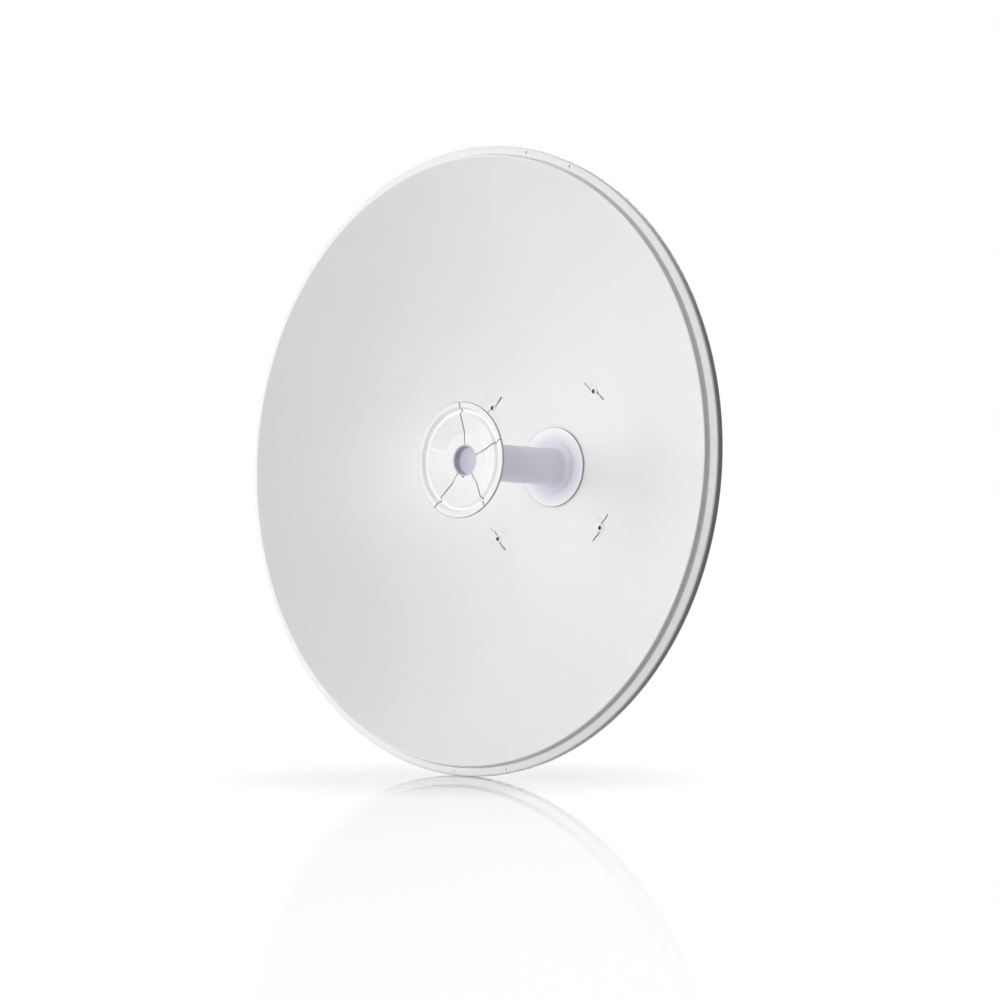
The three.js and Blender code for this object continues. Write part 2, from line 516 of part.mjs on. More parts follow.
// A flange with the toothed vee, in front of the pole (side -1) or behind it (side 1).
function veeFlange(side, rootY, z) {
  const right = veeFlank();
  const left = right.map(([x, y]) => [-x, y]).reverse();
  const mouthY = right[0][1];
  const outline = [
    [FLANGE_X, rootY], [FLANGE_X, mouthY], ...right, ...left, [-FLANGE_X, mouthY], [-FLANGE_X, rootY],
  ].map(([x, y]) => [x, -side * y]);
  return facingZ(polygon(outline), z - CHEEK_THICK / 2, z + CHEEK_THICK / 2);
}

function lockSlot() {
  const slot = new THREE.Shape();
  const down = -Math.PI / 2;
  const from = down - THREE.MathUtils.degToRad(TILT_UP + 2);
  const to = down + THREE.MathUtils.degToRad(TILT_DOWN + 2);
  const width = M8 + 0.5;
  const end = (angle) => [PIVOT_Y + LOCK_DROP * Math.cos(angle), LOCK_DROP * Math.sin(angle)];
  slot.absarc(PIVOT_Y, 0, LOCK_DROP + width, from, to, false);
  slot.absarc(...end(to), width, to, to + Math.PI, false);
  slot.absarc(PIVOT_Y, 0, LOCK_DROP - width, to, from, true);
  slot.absarc(...end(from), width, from + Math.PI, from + 2 * Math.PI, false);
  return facingX(slot, -90, 90, 8);
}

const cheekOutline = new THREE.Shape();
const CHEEK_RADIUS = 41;
cheekOutline.moveTo(WEB_Y + CHEEK_THICK, -BRACKET_HALF_Z + 6);
cheekOutline.lineTo(WEB_Y + CHEEK_THICK, BRACKET_HALF_Z - 6);
cheekOutline.absarc(PIVOT_Y, 0, EAR_END, 0.42 * Math.PI, Math.PI, false);
cheekOutline.absarc(PIVOT_Y, 0, CHEEK_RADIUS, -0.76 * Math.PI, -0.3 * Math.PI, false);
const rightCheek = facingX(cheekOutline, CHEEK_OUT - CHEEK_THICK, CHEEK_OUT);
const leftCheek = moved(rightCheek, CHEEK_THICK - 2 * CHEEK_OUT, 0, 0);
const webPlate = facingY(roundedRectangle(CHEEK_OUT, BRACKET_HALF_Z, 3), WEB_Y, WEB_Y + CHEEK_THICK);
const clampHoles = squareCorners(1).map(([sx, sz]) =>
  moved(rod(M8 + 0.4, -60, 60, SMALL_ROUND), sx * CLAMP_BOLT_X, 0, sz * CLAMP_Z));
addPiece('pole_bracket', cut(join([
  webPlate, rightCheek, leftCheek,
  veeFlange(-1, WEB_Y + 1, CLAMP_Z), veeFlange(-1, WEB_Y + 1, -CLAMP_Z),
]), [
  acrossX(boltBore, PIVOT_Y, 0), lockSlot(), ...clampHoles,
]), 'bracket_zinc');

const JAW_HALF_Z = 15;
for (const [name, z] of [['upper_jaw', CLAMP_Z], ['lower_jaw', -CLAMP_Z]]) {
  const web = facingY(roundedRectangle(60, JAW_HALF_Z, 3), -WEB_Y - CHEEK_THICK, -WEB_Y).translate(0, 0, z);
  const flanges = [-1, 1].map((side) => veeFlange(1, WEB_Y + 1, z + side * (JAW_HALF_Z - CHEEK_THICK / 2)));
  addPiece(name, cut(join([web, ...flanges]), clampHoles), 'bracket_zinc');
}

for (const [i, [sx, sz]] of squareCorners(1).entries()) {
  const [x, z] = [sx * CLAMP_BOLT_X, sz * CLAMP_Z];
  addPiece(`clamp_bolt_${i + 1}`, moved(domedBolt(M8, WEB_Y - GAP, CLAMP_BOLT_END), x, 0, z), 'steel');
  addPiece(`clamp_nut_${i + 1}`, moved(hexNut(M8, -WEB_Y + GAP, 8), x, 0, z), 'steel');
}

// Pivot and lock bolts: each goes in from outside, through an ear and a cheek, to a nut inside.
const headSeat = EAR_X + EAR_THICK + GAP;
const nutSeat = CHEEK_OUT - CHEEK_THICK - GAP;
for (const [sideName, turn] of [['right', 1], ['left', -1]]) {
  for (const [use, z] of [['pivot', 0], ['lock', -LOCK_DROP]]) {
    const bolt = hexBolt(M8, -headSeat, -49).rotateZ((turn * -Math.PI) / 2 + Math.PI);
    const nut = hexNut(M8, -nutSeat, 8).rotateZ((turn * -Math.PI) / 2 + Math.PI);
    addPiece(`${use}_bolt_${sideName}`, moved(bolt, 0, PIVOT_Y, z), 'steel');
    addPiece(`${use}_nut_${sideName}`, moved(nut, 0, PIVOT_Y, z), 'steel');
  }
}

export default part;
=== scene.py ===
"""Looks for an outdoor wireless bridge: a white dish with a central feed, a radio housing and a pole mount.

Lengths in the tables below are millimetres; the helpers turn them into metres. The dish looks along -Y.
"""
import json
import math

import bmesh
import bpy
from mathutils import Matrix, Vector


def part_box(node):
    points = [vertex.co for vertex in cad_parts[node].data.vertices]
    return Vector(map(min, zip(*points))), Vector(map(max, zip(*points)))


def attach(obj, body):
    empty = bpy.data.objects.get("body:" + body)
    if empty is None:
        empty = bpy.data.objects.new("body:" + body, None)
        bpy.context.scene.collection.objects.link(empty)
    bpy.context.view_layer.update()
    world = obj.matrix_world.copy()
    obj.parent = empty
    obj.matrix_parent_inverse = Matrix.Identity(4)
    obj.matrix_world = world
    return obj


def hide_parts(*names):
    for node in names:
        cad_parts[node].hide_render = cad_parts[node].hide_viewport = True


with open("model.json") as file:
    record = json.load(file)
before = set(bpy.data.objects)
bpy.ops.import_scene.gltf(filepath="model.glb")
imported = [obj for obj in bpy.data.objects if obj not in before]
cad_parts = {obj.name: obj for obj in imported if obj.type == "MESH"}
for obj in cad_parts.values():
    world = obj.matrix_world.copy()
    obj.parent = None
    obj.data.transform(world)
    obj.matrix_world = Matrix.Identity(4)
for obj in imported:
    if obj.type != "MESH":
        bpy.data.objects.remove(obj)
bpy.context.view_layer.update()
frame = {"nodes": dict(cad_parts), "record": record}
MM = 0.001

# ---- sizes, in millimetres ----------------------------------------------------------------------
GAP = 0.3
FOCAL_LENGTH = 160
SHEET = 1.5
DISH_RADIUS = 325
LIP_DEPTH = 154
FLANGE_DEPTH = 147
SKIRT_DEPTH = 138.8
PARABOLA_END = 309
HUB_HOLE = 20.6
VERTEX_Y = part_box("reflector")[0].y / MM + LIP_DEPTH
CAP_FRONT_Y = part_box("feed_cap")[0].y / MM
BOLT_CIRCLE = 102.6
BOLT_TURN = 48.3
TUBE_RADIUS = 19.7
CAP_RADIUS = 60.3
CAP_HOLE = 16.3
CAP_FLOOR = 7.8
CAP_THICK = 2
COLLAR_RADIUS = 43.2
PIVOT_Y = -66
LOCK_DROP = 28
EAR_X = 62.5
EAR_THICK = 4
EAR_END = 14
FRAME_FRONT_Y = -128
FRAME_REAR_Y = -120
FRAME_HALF = 88
GROUND_X = 40
GROUND_Z = -74
WEB_Y = -40
CHEEK_THICK = 3
CHEEK_OUT = EAR_X - 0.5
BRACKET_HALF_Z = 55
CLAMP_X = 48
CLAMP_Z = 38
HOUSING_RADIUS = 57
HOUSING_REAR_Y = -92
COVER_FRONT_Y = -116.9
BASE_FRONT_Y = -121.7
BASE_FLOOR_Y = -119.2            # rear face of the base's floor
BASE_REAR_Y = -117.2
TAB_SQUARE = 48
PORT_X = 18
PORT_FLOOR_Z = -76
HINGE_Y = HOUSING_REAR_Y + 2
HINGE_Z = PORT_FLOOR_Z - 1.6
PANEL_Z = -34
BUTTON_X = 22
GROMMET_Y = -104.6
TUBE_END_Y = -126
GUIDE_END_Y = -119
M4, M5, M8 = (2, 0.7), (2.5, 0.8), (4, 1.25)     # shank radius and thread pitch
M4_HOLE, M5_HOLE, M8_HOLE = 2.3, 2.9, 4.4        # radii of the clearance holes
GROUND_HOLE = 2.8
FINE = 128                       # facets around large rounds
SMALL = 40                       # facets around bolts and holes
SHARP_ANGLE = 32                 # edges steeper than this, in degrees, are bevelled and stay sharp


def square_corners(half):
    return [(half, half), (-half, half), (-half, -half), (half, -half)]


def bolt_places():
    angles = [math.radians(BOLT_TURN + turn) for turn in (0, 90, 180, 270)]
    return [(BOLT_CIRCLE * math.cos(a), BOLT_CIRCLE * math.sin(a)) for a in angles]


# ---- mesh helpers -------------------------------------------------------------------------------
def mesh_object(name, points, faces):
    """A closed mesh from points in millimetres."""
    mesh = bpy.data.meshes.new(name)
    mesh.from_pydata([Vector(p) * MM for p in points], [], faces)
    bm = bmesh.new()
    bm.from_mesh(mesh)
    bmesh.ops.remove_doubles(bm, verts=bm.verts, dist=1e-7)
    bmesh.ops.recalc_face_normals(bm, faces=bm.faces)
    bm.to_mesh(mesh)
    bm.free()
    obj = bpy.data.objects.new(name, mesh)
    bpy.context.scene.collection.objects.link(obj)
    return obj


def soft_path(corners, closed=True, steps=5):
    """A path through corners (u, v, radius), each rounded to its radius."""
    path = []
    count = len(corners)
    for i, (u, v, radius) in enumerate(corners):
        corner = Vector((u, v))
        if radius <= 0 or (not closed and i in (0, count - 1)):
            path.append((u, v))
            continue
        before = Vector(corners[i - 1][:2]) - corner
        after = Vector(corners[(i + 1) % count][:2]) - corner
        half = before.angle(after) / 2
        reach = min(radius / math.tan(half), 0.48 * before.length, 0.48 * after.length)
        radius = reach * math.tan(half)
        centre = corner + (before.normalized() + after.normalized()).normalized() * radius / math.sin(half)
        start = corner + before.normalized() * reach - centre
        end = corner + after.normalized() * reach - centre
        sweep = math.pi - 2 * half
        if sweep < 0.02:
            path.append((u, v))
            continue
        for k in range(steps + 1):
            t = k / steps
            spoke = (start * math.sin((1 - t) * sweep) + end * math.sin(t * sweep)) / math.sin(sweep)
            path.append(tuple(centre + spoke))
    return path


def circle(cu, cv, radius, start=0.0, end=360.0, steps=24):
    angles = [math.radians(start + (end - start) * k / steps) for k in range(steps + 1)]
    return [(cu + radius * math.cos(a), cv + radius * math.sin(a)) for a in angles]


def lathe(name, profile, segments=FINE, relief=None, closed=True):
    """A body of revolution about Y. The profile's points are (radius, y)."""
    points, rows = [], []
    for r, y in profile:
        if r < 1e-6:
            rows.append([len(points)] * segments)
            points.append((0, y, 0))
            continue
        rows.append(list(range(len(points), len(points) + segments)))
        for s in range(segments):
            angle = 2 * math.pi * s / segments
            x, z = r * math.cos(angle), r * math.sin(angle)
            points.append((x, relief(x, y, z) if relief else y, z))
    faces = []
    spans = len(rows) if closed else len(rows) - 1
    for i in range(spans):
        low, high = rows[i], rows[(i + 1) % len(rows)]
        for s in range(segments):
            n = (s + 1) % segments
            loop = [low[s], low[n], high[n], high[s]]
            face = [v for k, v in enumerate(loop) if v not in loop[:k]]
            if len(face) > 2:
                faces.append(face)
    return mesh_object(name, points, faces)


def prism(name, outline, low, high, axis):
    """An outline extruded along an axis: (y, z) along X, (x, z) along Y or (x, y) along Z."""
    put = {
        "X": lambda a, b, t: (t, a, b),
        "Y": lambda a, b, t: (a, t, b),
        "Z": lambda a, b, t: (a, b, t),
    }[axis]
    count = len(outline)
    points = [put(a, b, low) for a, b in outline] + [put(a, b, high) for a, b in outline]
    faces = [list(range(count)), list(range(2 * count - 1, count - 1, -1))]
    faces += [[i, i + count, (i + 1) % count + count, (i + 1) % count] for i in range(count)]
    return mesh_object(name, points, faces)


def block(name, x0, x1, y0, y1, z0, z1, radius=0.0):
    """A box whose four edges along Y can be rounded."""
    outline = soft_path([(x0, z0, radius), (x1, z0, radius), (x1, z1, radius), (x0, z1, radius)])
    return prism(name, outline, y0, y1, "Y")


def rod(name, radius, low, high, axis="Y", u=0.0, v=0.0, segments=SMALL):
    return prism(name, circle(u, v, radius, 0, 360 - 360 / segments, segments - 1), low, high, axis)


def bake(obj):
    """Turns the object's modifiers into its mesh."""
    graph = bpy.context.evaluated_depsgraph_get()
    mesh = bpy.data.meshes.new_from_object(obj.evaluated_get(graph))
    obj.modifiers.clear()
    old = obj.data
    obj.data = mesh
    bpy.data.meshes.remove(old)


def combine(obj, others, operation="UNION"):
    for other in others:
        modifier = obj.modifiers.new("combine", "BOOLEAN")
        modifier.operation = operation
        modifier.solver = "MANIFOLD"
        modifier.object = other
        bake(obj)
        mesh = other.data
        bpy.data.objects.remove(other)
        bpy.data.meshes.remove(mesh)
    return obj


def cut(obj, cutters):
    return combine(obj, cutters, "DIFFERENCE")


def bevel(obj, width):
    modifier = obj.modifiers.new("bevel", "BEVEL")
    modifier.width = width * MM
    modifier.segments = 3
    modifier.limit_method = "ANGLE"
    modifier.angle_limit = math.radians(SHARP_ANGLE)
    modifier.use_clamp_overlap = True
    bake(obj)
    return obj


def flatten(obj):
    """Lets the widest faces set the normals, so that a flat face beside a bevel shades flat."""
    modifier = obj.modifiers.new("flatten", "WEIGHTED_NORMAL")
    modifier.keep_sharp = True
    bake(obj)


def moved(obj, x=0.0, y=0.0, z=0.0, turn=None):
    matrix = Matrix.Translation(Vector((x, y, z)) * MM)
    if turn:
        matrix = matrix @ Matrix.Rotation(math.radians(turn[1]), 4, turn[0])
    obj.data.transform(matrix)
    return obj


# ---- materials ----------------------------------------------------------------------------------
def map_range(nodes, links, value, from_low, from_high, low, high):
    """A Map Range node that takes value from one span to another."""
    ramp = nodes.new("ShaderNodeMapRange")
    spans = {"From Min": from_low, "From Max": from_high, "To Min": low, "To Max": high}
    for socket, number in spans.items():
        ramp.inputs[socket].default_value = number
    links.new(value, ramp.inputs["Value"])
    return ramp


class Shader:
    """A Principled material with helpers for its procedural detail."""

    def __init__(self, name, color, roughness, metallic=0.0, **constants):
        self.material = bpy.data.materials.new(name)
        self.material.use_nodes = True
        self.nodes = self.material.node_tree.nodes
        self.links = self.material.node_tree.links
        self.surface = self.nodes["Principled BSDF"]
        self.surface.inputs["Base Color"].default_value = (*color, 1)
        self.surface.inputs["Roughness"].default_value = roughness
        self.surface.inputs["Metallic"].default_value = metallic
        for socket, value in constants.items():
            self.surface.inputs[socket.replace("_", " ")].default_value = value
        self.where = self.nodes.new("ShaderNodeTexCoord").outputs["Object"]
        self.height = None

    def node(self, kind, **inputs):
        node = self.nodes.new(kind)
        for socket, value in inputs.items():
            target = node.inputs[socket.replace("_", " ")]
            if isinstance(value, bpy.types.NodeSocket):
                self.links.new(value, target)
            else:
                target.default_value = value
        return node

    def noise(self, scale, detail=3.0, roughness=0.55, stretch=None):
        where = self.where
        if stretch:
            where = self.node("ShaderNodeMapping", Vector=where, Scale=stretch).outputs["Vector"]
        noise = self.node("ShaderNodeTexNoise", Vector=where, Scale=scale, Detail=detail, Roughness=roughness)
        return noise.outputs["Fac"]

    def cells(self, scale, output="Distance"):
        return self.node("ShaderNodeTexVoronoi", Vector=self.where, Scale=scale).outputs[output]

    def spread(self, value, low, high, from_low=0.3, from_high=0.7):
        return map_range(self.nodes, self.links, value, from_low, from_high, low, high).outputs["Result"]

    def tint(self, value, dark, light, from_low=0.3, from_high=0.7):
        ramp = self.nodes.new("ShaderNodeValToRGB")
        ramp.color_ramp.elements[0].position = from_low
        ramp.color_ramp.elements[1].position = from_high
        ramp.color_ramp.elements[0].color = (*dark, 1)
        ramp.color_ramp.elements[1].color = (*light, 1)
        self.links.new(value, ramp.inputs["Fac"])
        self.links.new(ramp.outputs["Color"], self.surface.inputs["Base Color"])

    def rough(self, value, low, high):
        self.links.new(self.spread(value, low, high), self.surface.inputs["Roughness"])

    def bump(self, value, depth, strength=1.0):
        """depth is in millimetres."""
        bump = self.node("ShaderNodeBump", Height=value, Strength=strength, Distance=depth * MM)
        if self.height:
            self.links.new(self.height, bump.inputs["Normal"])
        self.height = bump.outputs["Normal"]
        self.links.new(self.height, self.surface.inputs["Normal"])


def dish_paint():
    """Powder coat on spun sheet: faint orange peel, faint turning rings and slow tone changes."""
    s = Shader("dish_powder_coat", (0.87, 0.87, 0.875), 0.36, Specular_IOR_Level=0.32)
    s.tint(s.noise(5.5, 2.0), (0.862, 0.862, 0.868), (0.882, 0.882, 0.886))
    s.rough(s.noise(38.0, 3.0), 0.33, 0.42)
    s.bump(s.noise(620.0, 2.0), 0.05, 0.35)
    s.bump(s.noise(9.0, 1.0), 0.3, 0.12)
    return s.material


def white_plastic():
    s = Shader("white_moulding", (0.92, 0.92, 0.925), 0.4, Subsurface_Weight=0.04, Subsurface_Scale=0.002)
    s.tint(s.noise(24.0, 2.0), (0.905, 0.905, 0.912), (0.935, 0.935, 0.938))
    s.rough(s.noise(60.0), 0.36, 0.46)
    s.bump(s.noise(1500.0, 2.0), 0.02, 0.3)
    return s.material


def tube_plastic(name="lavender_grey_moulding", dark=(0.60, 0.59, 0.69), light=(0.65, 0.64, 0.735)):
    s = Shader(name, light, 0.42)
    s.tint(s.noise(30.0, 2.0, stretch=(1, 0.25, 1)), dark, light)
    s.rough(s.noise(70.0), 0.36, 0.46)
    s.bump(s.noise(900.0, 2.0, stretch=(1, 0.05, 1)), 0.015, 0.4)
    s.bump(s.noise(1600.0, 2.0), 0.015, 0.3)
    return s.material


def collar_plastic_painted_shade():
    """White moulding with painted shade: lavender-grey close to the tube, where the tube's shade falls, white
    further out.
    """
    s = Shader("collar_moulding_painted_shade", (0.93, 0.93, 0.935), 0.4)
    flat = s.node("ShaderNodeVectorMath")
    flat.operation = "MULTIPLY"
    s.links.new(s.where, flat.inputs[0])
    flat.inputs[1].default_value = (1, 0, 1)
    length = s.node("ShaderNodeVectorMath")
    length.operation = "LENGTH"
    s.links.new(flat.outputs["Vector"], length.inputs[0])
    # painted shade: the tint runs from lavender-grey at 27 mm from the axis to white at 42 mm
    edge = s.spread(length.outputs["Value"], 0, 1, 27 * MM, 42 * MM)
    s.tint(edge, (0.74, 0.73, 0.82), (0.93, 0.93, 0.935), 0, 1)
    s.rough(s.noise(60.0), 0.36, 0.46)
    s.bump(s.noise(1500.0, 2.0), 0.02, 0.3)
    return s.material


def grey_plastic():
    s = Shader("grey_moulding", (0.55, 0.56, 0.59), 0.5)
    s.tint(s.noise(26.0), (0.52, 0.53, 0.56), (0.58, 0.59, 0.62))
    s.rough(s.noise(55.0), 0.44, 0.56)
    s.bump(s.noise(1300.0), 0.03, 0.4)
    return s.material


def black_plastic():
    s = Shader("black_moulding", (0.035, 0.036, 0.04), 0.45)
    s.tint(s.noise(40.0), (0.028, 0.029, 0.032), (0.045, 0.046, 0.05))
    s.rough(s.noise(80.0), 0.38, 0.55)
    s.bump(s.noise(1800.0), 0.02, 0.4)
    return s.material


def rubber():
    s = Shader("black_rubber", (0.045, 0.045, 0.048), 0.72)
    s.tint(s.noise(35.0), (0.035, 0.035, 0.038), (0.06, 0.06, 0.064))
    s.rough(s.noise(120.0), 0.62, 0.82)
    s.bump(s.noise(1100.0), 0.03, 0.5)
    return s.material


def steel():
    """Stainless fasteners: fine turning marks and a little scuffing."""
    s = Shader("stainless_steel", (0.46, 0.46, 0.47), 0.34, 1.0)
    s.tint(s.noise(150.0), (0.30, 0.30, 0.31), (0.45, 0.45, 0.46))
    s.rough(s.noise(400.0, 4.0), 0.24, 0.44)
    s.bump(s.noise(1400.0, 3.0), 0.02, 0.4)
    return s.material


def zinc():
    """Hot-dip zinc: overlapping spangles of slightly different brightness."""
    s = Shader("galvanised_sheet", (0.56, 0.57, 0.59), 0.42, 0.92)
    mix = s.node("ShaderNodeMix", Factor=0.45)
    s.links.new(s.cells(110.0, "Color"), mix.inputs["A"])
    s.links.new(s.noise(30.0, 4.0), mix.inputs["B"])
    s.tint(mix.outputs["Result"], (0.33, 0.34, 0.36), (0.55, 0.56, 0.58), 0.25, 0.75)
    s.rough(mix.outputs["Result"], 0.34, 0.52)
    s.bump(s.noise(260.0, 4.0), 0.03, 0.5)
    return s.material


def cast_alloy():
    """Die-cast aluminium with a fine skin."""
    s = Shader("die_cast_alloy", (0.66, 0.67, 0.69), 0.46, 0.75)
    s.tint(s.noise(45.0, 4.0), (0.47, 0.48, 0.50), (0.62, 0.63, 0.65))
    s.rough(s.noise(90.0, 4.0), 0.38, 0.56)
    s.bump(s.noise(700.0, 4.0), 0.06, 0.5)
    return s.material


def circuit_green():
    s = Shader("solder_mask", (0.02, 0.14, 0.07), 0.35, Coat_Weight=0.4, Coat_Roughness=0.15)
    s.tint(s.cells(160.0), (0.012, 0.10, 0.05), (0.04, 0.21, 0.10), 0.2, 0.6)
    s.rough(s.noise(90.0), 0.28, 0.42)
    s.bump(s.cells(160.0), 0.03, 0.4)
    return s.material


def light_pipe():
    s = Shader("clear_light_pipe", (0.82, 0.9, 0.94), 0.22, Transmission_Weight=0.35, IOR=1.49)
    s.tint(s.noise(140.0), (0.74, 0.84, 0.88), (0.86, 0.93, 0.96))
    s.rough(s.noise(200.0), 0.16, 0.3)
    s.bump(s.noise(700.0), 0.02, 0.3)
    return s.material


def shaded_edge(name, dark, light):
    """Painted shade: the grey put in sockets and grooves and on the thin edges that outline a part."""
    s = Shader(name, light, 0.6)
    s.tint(s.noise(90.0), dark, light)
    s.rough(s.noise(140.0), 0.55, 0.68)
    s.bump(s.noise(900.0), 0.02, 0.4)
    return s.material


# painted shade: near-black for bolt sockets, grey for grooves and for edges that outline a part
SOCKET_SHADE = shaded_edge("socket_shade", (0.05, 0.05, 0.055), (0.09, 0.09, 0.095))
GROOVE_SHADE = shaded_edge("groove_shade", (0.36, 0.36, 0.375), (0.46, 0.46, 0.475))
MATERIAL = {
    "dish_paint": dish_paint(),
    "white_plastic": white_plastic(),
    "tube_plastic": tube_plastic(),
    "grey_plastic": grey_plastic(),
    "black_plastic": black_plastic(),
    "rubber": rubber(),
    "steel": steel(),
    "bracket_zinc": zinc(),
    "cast_alloy": cast_alloy(),
    "circuit_green": circuit_green(),
    "light_pipe": light_pipe(),
}

BODY_OF = {node: body for body, nodes in frame["record"]["behaviour"]["bodies"].items() for node in nodes}
SLOT_OF = {row["node"]: row["material_slot"] for row in frame["record"]["subparts"]}
FLAT_NODES = {
    "dish_frame", "radio_base", "radio_cover", "port_door", "led_window", "pole_bracket", "upper_jaw",
    "lower_jaw",
}


def place(obj, node, angle=SHARP_ANGLE):
    """Shades a piece, gives it its material, and lets it stand for its CAD node."""
    obj.data.shade_smooth()
    obj.data.set_sharp_from_angle(angle=math.radians(angle))
    if node in FLAT_NODES:
        flatten(obj)
    obj.name = node + "_look"
    obj.data.materials.clear()
    obj.data.materials.append(MATERIAL[SLOT_OF[node]])
    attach(obj, BODY_OF[node])
    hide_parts(node)
    return obj


def repaint(obj, chosen, material):
    """Gives one more material to the faces whose centre is chosen."""
    obj.data.materials.append(material)
    for face in obj.data.polygons:
        if chosen(face.center):
            face.material_index = len(obj.data.materials) - 1


# ---- reflector ----------------------------------------------------------------------------------
PAD_DEPTH = 16.4
PAD_FRONT_Y = VERTEX_Y - PAD_DEPTH
PAD_FLAT = 7.2
PAD_EDGE = 10.4
SLIT_HALF = 0.95
SLIT_LENGTH = 17
SLIT_SHIFT = 1.9                 # how far each slit runs to the side of the bolt
RIM_HOLE_CIRCLE = 320.6
RIM_HOLE_RADIUS = 1.7
RIM_HOLE_ANGLES = (74, 63, -79, -92)
DISH_SEGMENTS = 400


def dish_depth(r):
    return r * r / (4 * FOCAL_LENGTH)


def dish_face(offset, steps=70):
    """The parabola, or its back when offset is the sheet's thickness, as (radius, depth)."""
    face = []
    for i in range(steps + 1):
        r = HUB_HOLE + (PARABOLA_END - HUB_HOLE) * i / steps
        slope = math.atan(r / (2 * FOCAL_LENGTH))
        face.append((r + (offset * math.sin(slope) if i else 0), dish_depth(r) - offset * math.cos(slope)))
    return face


def dish_rim():
    """Rolled lip, wall, flange and hemmed skirt, from the parabola's edge round to its back."""
    return soft_path([
        (PARABOLA_END, dish_depth(PARABOLA_END), 0), (313.9, LIP_DEPTH + 0.35, 1.5),
        (316.4, FLANGE_DEPTH, 1.3), (DISH_RADIUS, FLANGE_DEPTH, 2.4),
        (DISH_RADIUS, SKIRT_DEPTH, 0.8), (323.3, SKIRT_DEPTH, 0.8),
        (323.3, 145.4, 1.4), (315.3, 145.5, 1.8), (313.6, 151.9, 1), (310.1, 148.2, 0),
    ], closed=False, steps=7)


def pressed_pads(x, y, z):
    """Flattens the sheet around each bracket bolt; y comes in and goes out in millimetres."""
    r = math.hypot(x, z)
    if abs(r - BOLT_CIRCLE) > 1.5 * PAD_EDGE:
        return y
    distance = min(math.hypot(x - bx, z - bz) for bx, bz in bolt_places())
    if distance > PAD_EDGE:
        return y
    t = min(1.0, max(0.0, (PAD_EDGE - distance) / (PAD_EDGE - PAD_FLAT)))
    ease = t * t * (3 - 2 * t)
    depth = VERTEX_Y - y
    flat = PAD_DEPTH if depth > dish_depth(r) - 0.7 * SHEET else PAD_DEPTH - SHEET
    return VERTEX_Y - (depth + (flat - depth) * ease)


def make_reflector():
    profile = dish_face(0) + dish_rim()[1:-1] + dish_face(SHEET)[::-1]
    dish = lathe("reflector", [(r, VERTEX_Y - d) for r, d in profile], DISH_SEGMENTS, pressed_pads)
    cutters = []
    for x, z in bolt_places():
        cutters.append(rod("bolt_hole", 3, PAD_FRONT_Y - 9, PAD_FRONT_Y + 9, "Y", x, z))
        turn = math.degrees(math.atan2(z, x))
        for side in (-1, 1):
            out = SLIT_SHIFT if x * side < 0 else -SLIT_SHIFT
            low, high = sorted((0, SLIT_LENGTH * side))
            slit = block("slit", -SLIT_HALF, SLIT_HALF, PAD_FRONT_Y - 12, PAD_FRONT_Y + 12, low, high)
            moved(slit, BOLT_CIRCLE + out, 0, 0)
            cutters.append(moved(slit, turn=("Y", -turn)))
    flange_y = VERTEX_Y - FLANGE_DEPTH
    for angle in RIM_HOLE_ANGLES:
        x, z = circle(0, 0, RIM_HOLE_CIRCLE, angle, angle, 1)[0]
        cutters.append(rod("rim_hole", RIM_HOLE_RADIUS, flange_y - 5, flange_y + 5, "Y", x, z, 24))
    place(cut(dish, cutters), "reflector", 28)


# ---- feed ---------------------------------------------------------------------------------------
def depth_profile(corners, front, steps=5):
    """A closed profile whose corners are (radius, depth behind front, rounding)."""
    return [(r, front + d) for r, d in soft_path(corners, True, steps)]


GROOVE_HALF = 0.75
GROOVE_DEPTH = 1.2
FIRST_GROOVE = 18                # degrees; the five grooves are a fifth of a turn apart
GROOVE_STEP = 72
CAP_SEGMENTS = 192
CAP_BACK = CAP_FLOOR + CAP_THICK
CAP_FACE = [
    (CAP_HOLE, CAP_FLOOR, 0.35), (28.6, CAP_FLOOR, 3), (46.8, 1.7, 0.7), (48.4, 1.8, 1.2),
    (50.2, 4.8, 1.4), (51.4, 4.8, 1.4), (54.3, 0.7, 1.2),
]


def make_cap():
    back = [
        (59.6, 0, 0.5), (CAP_RADIUS, 0.7, 0.4), (CAP_RADIUS, 1.9, 0.3), (55.6, 2.7, 0.6), (52.1, 7.9, 0.6),
        (49.2, 7.9, 0.6), (46.9, 3.7, 0.6), (28.9, CAP_BACK, 2), (CAP_HOLE, CAP_BACK, 0.2),
    ]
    cap = lathe("feed_cap", depth_profile(CAP_FACE + back, CAP_FRONT_Y), CAP_SEGMENTS)
    lower = [(r, CAP_FRONT_Y + d + GROOVE_DEPTH) for r, d in soft_path(CAP_FACE + [(62, 0, 0)], False)]
    upper = [(62, CAP_FRONT_Y - 4), (CAP_HOLE, CAP_FRONT_Y - 4)]
    for k in range(5):
        band = lathe("band", lower + upper, CAP_SEGMENTS)
        slab = block("slab", CAP_HOLE + 1.6, CAP_RADIUS + 1, CAP_FRONT_Y - 5, CAP_FRONT_Y + 20,
                     -GROOVE_HALF, GROOVE_HALF)
        moved(slab, turn=("Y", -(FIRST_GROOVE + GROOVE_STEP * k)))
        cut(cap, [combine(slab, [band], "INTERSECT")])
    notch = rod("notch", 2, CAP_FRONT_Y, CAP_FRONT_Y + 30, "Y", -0.14 * CAP_HOLE, -CAP_HOLE)
    place(cut(cap, [notch]), "feed_cap", 25)

    def gets_painted_shade(centre):
        """The faces that get painted shade: the cap's edge and its grooves, except the groove on the upper
        left, which stays faint.
        """
        r = math.hypot(centre.x, centre.z) / MM
        turn = math.degrees(math.atan2(centre.z, centre.x)) - FIRST_GROOVE
        turn = math.radians((turn + GROOVE_STEP / 2) % GROOVE_STEP - GROOVE_STEP / 2)
        if r < 59 and centre.x < -0.8 * r * MM and centre.z > 0:
            return False
        if r > 59.5:
            return True
        return abs(r * math.sin(turn)) < GROOVE_HALF + 0.02 and centre.y / MM < CAP_FRONT_Y + 9

    # painted shade along the cap's outer edge and in its grooves
    repaint(cap, gets_painted_shade, GROOVE_SHADE)


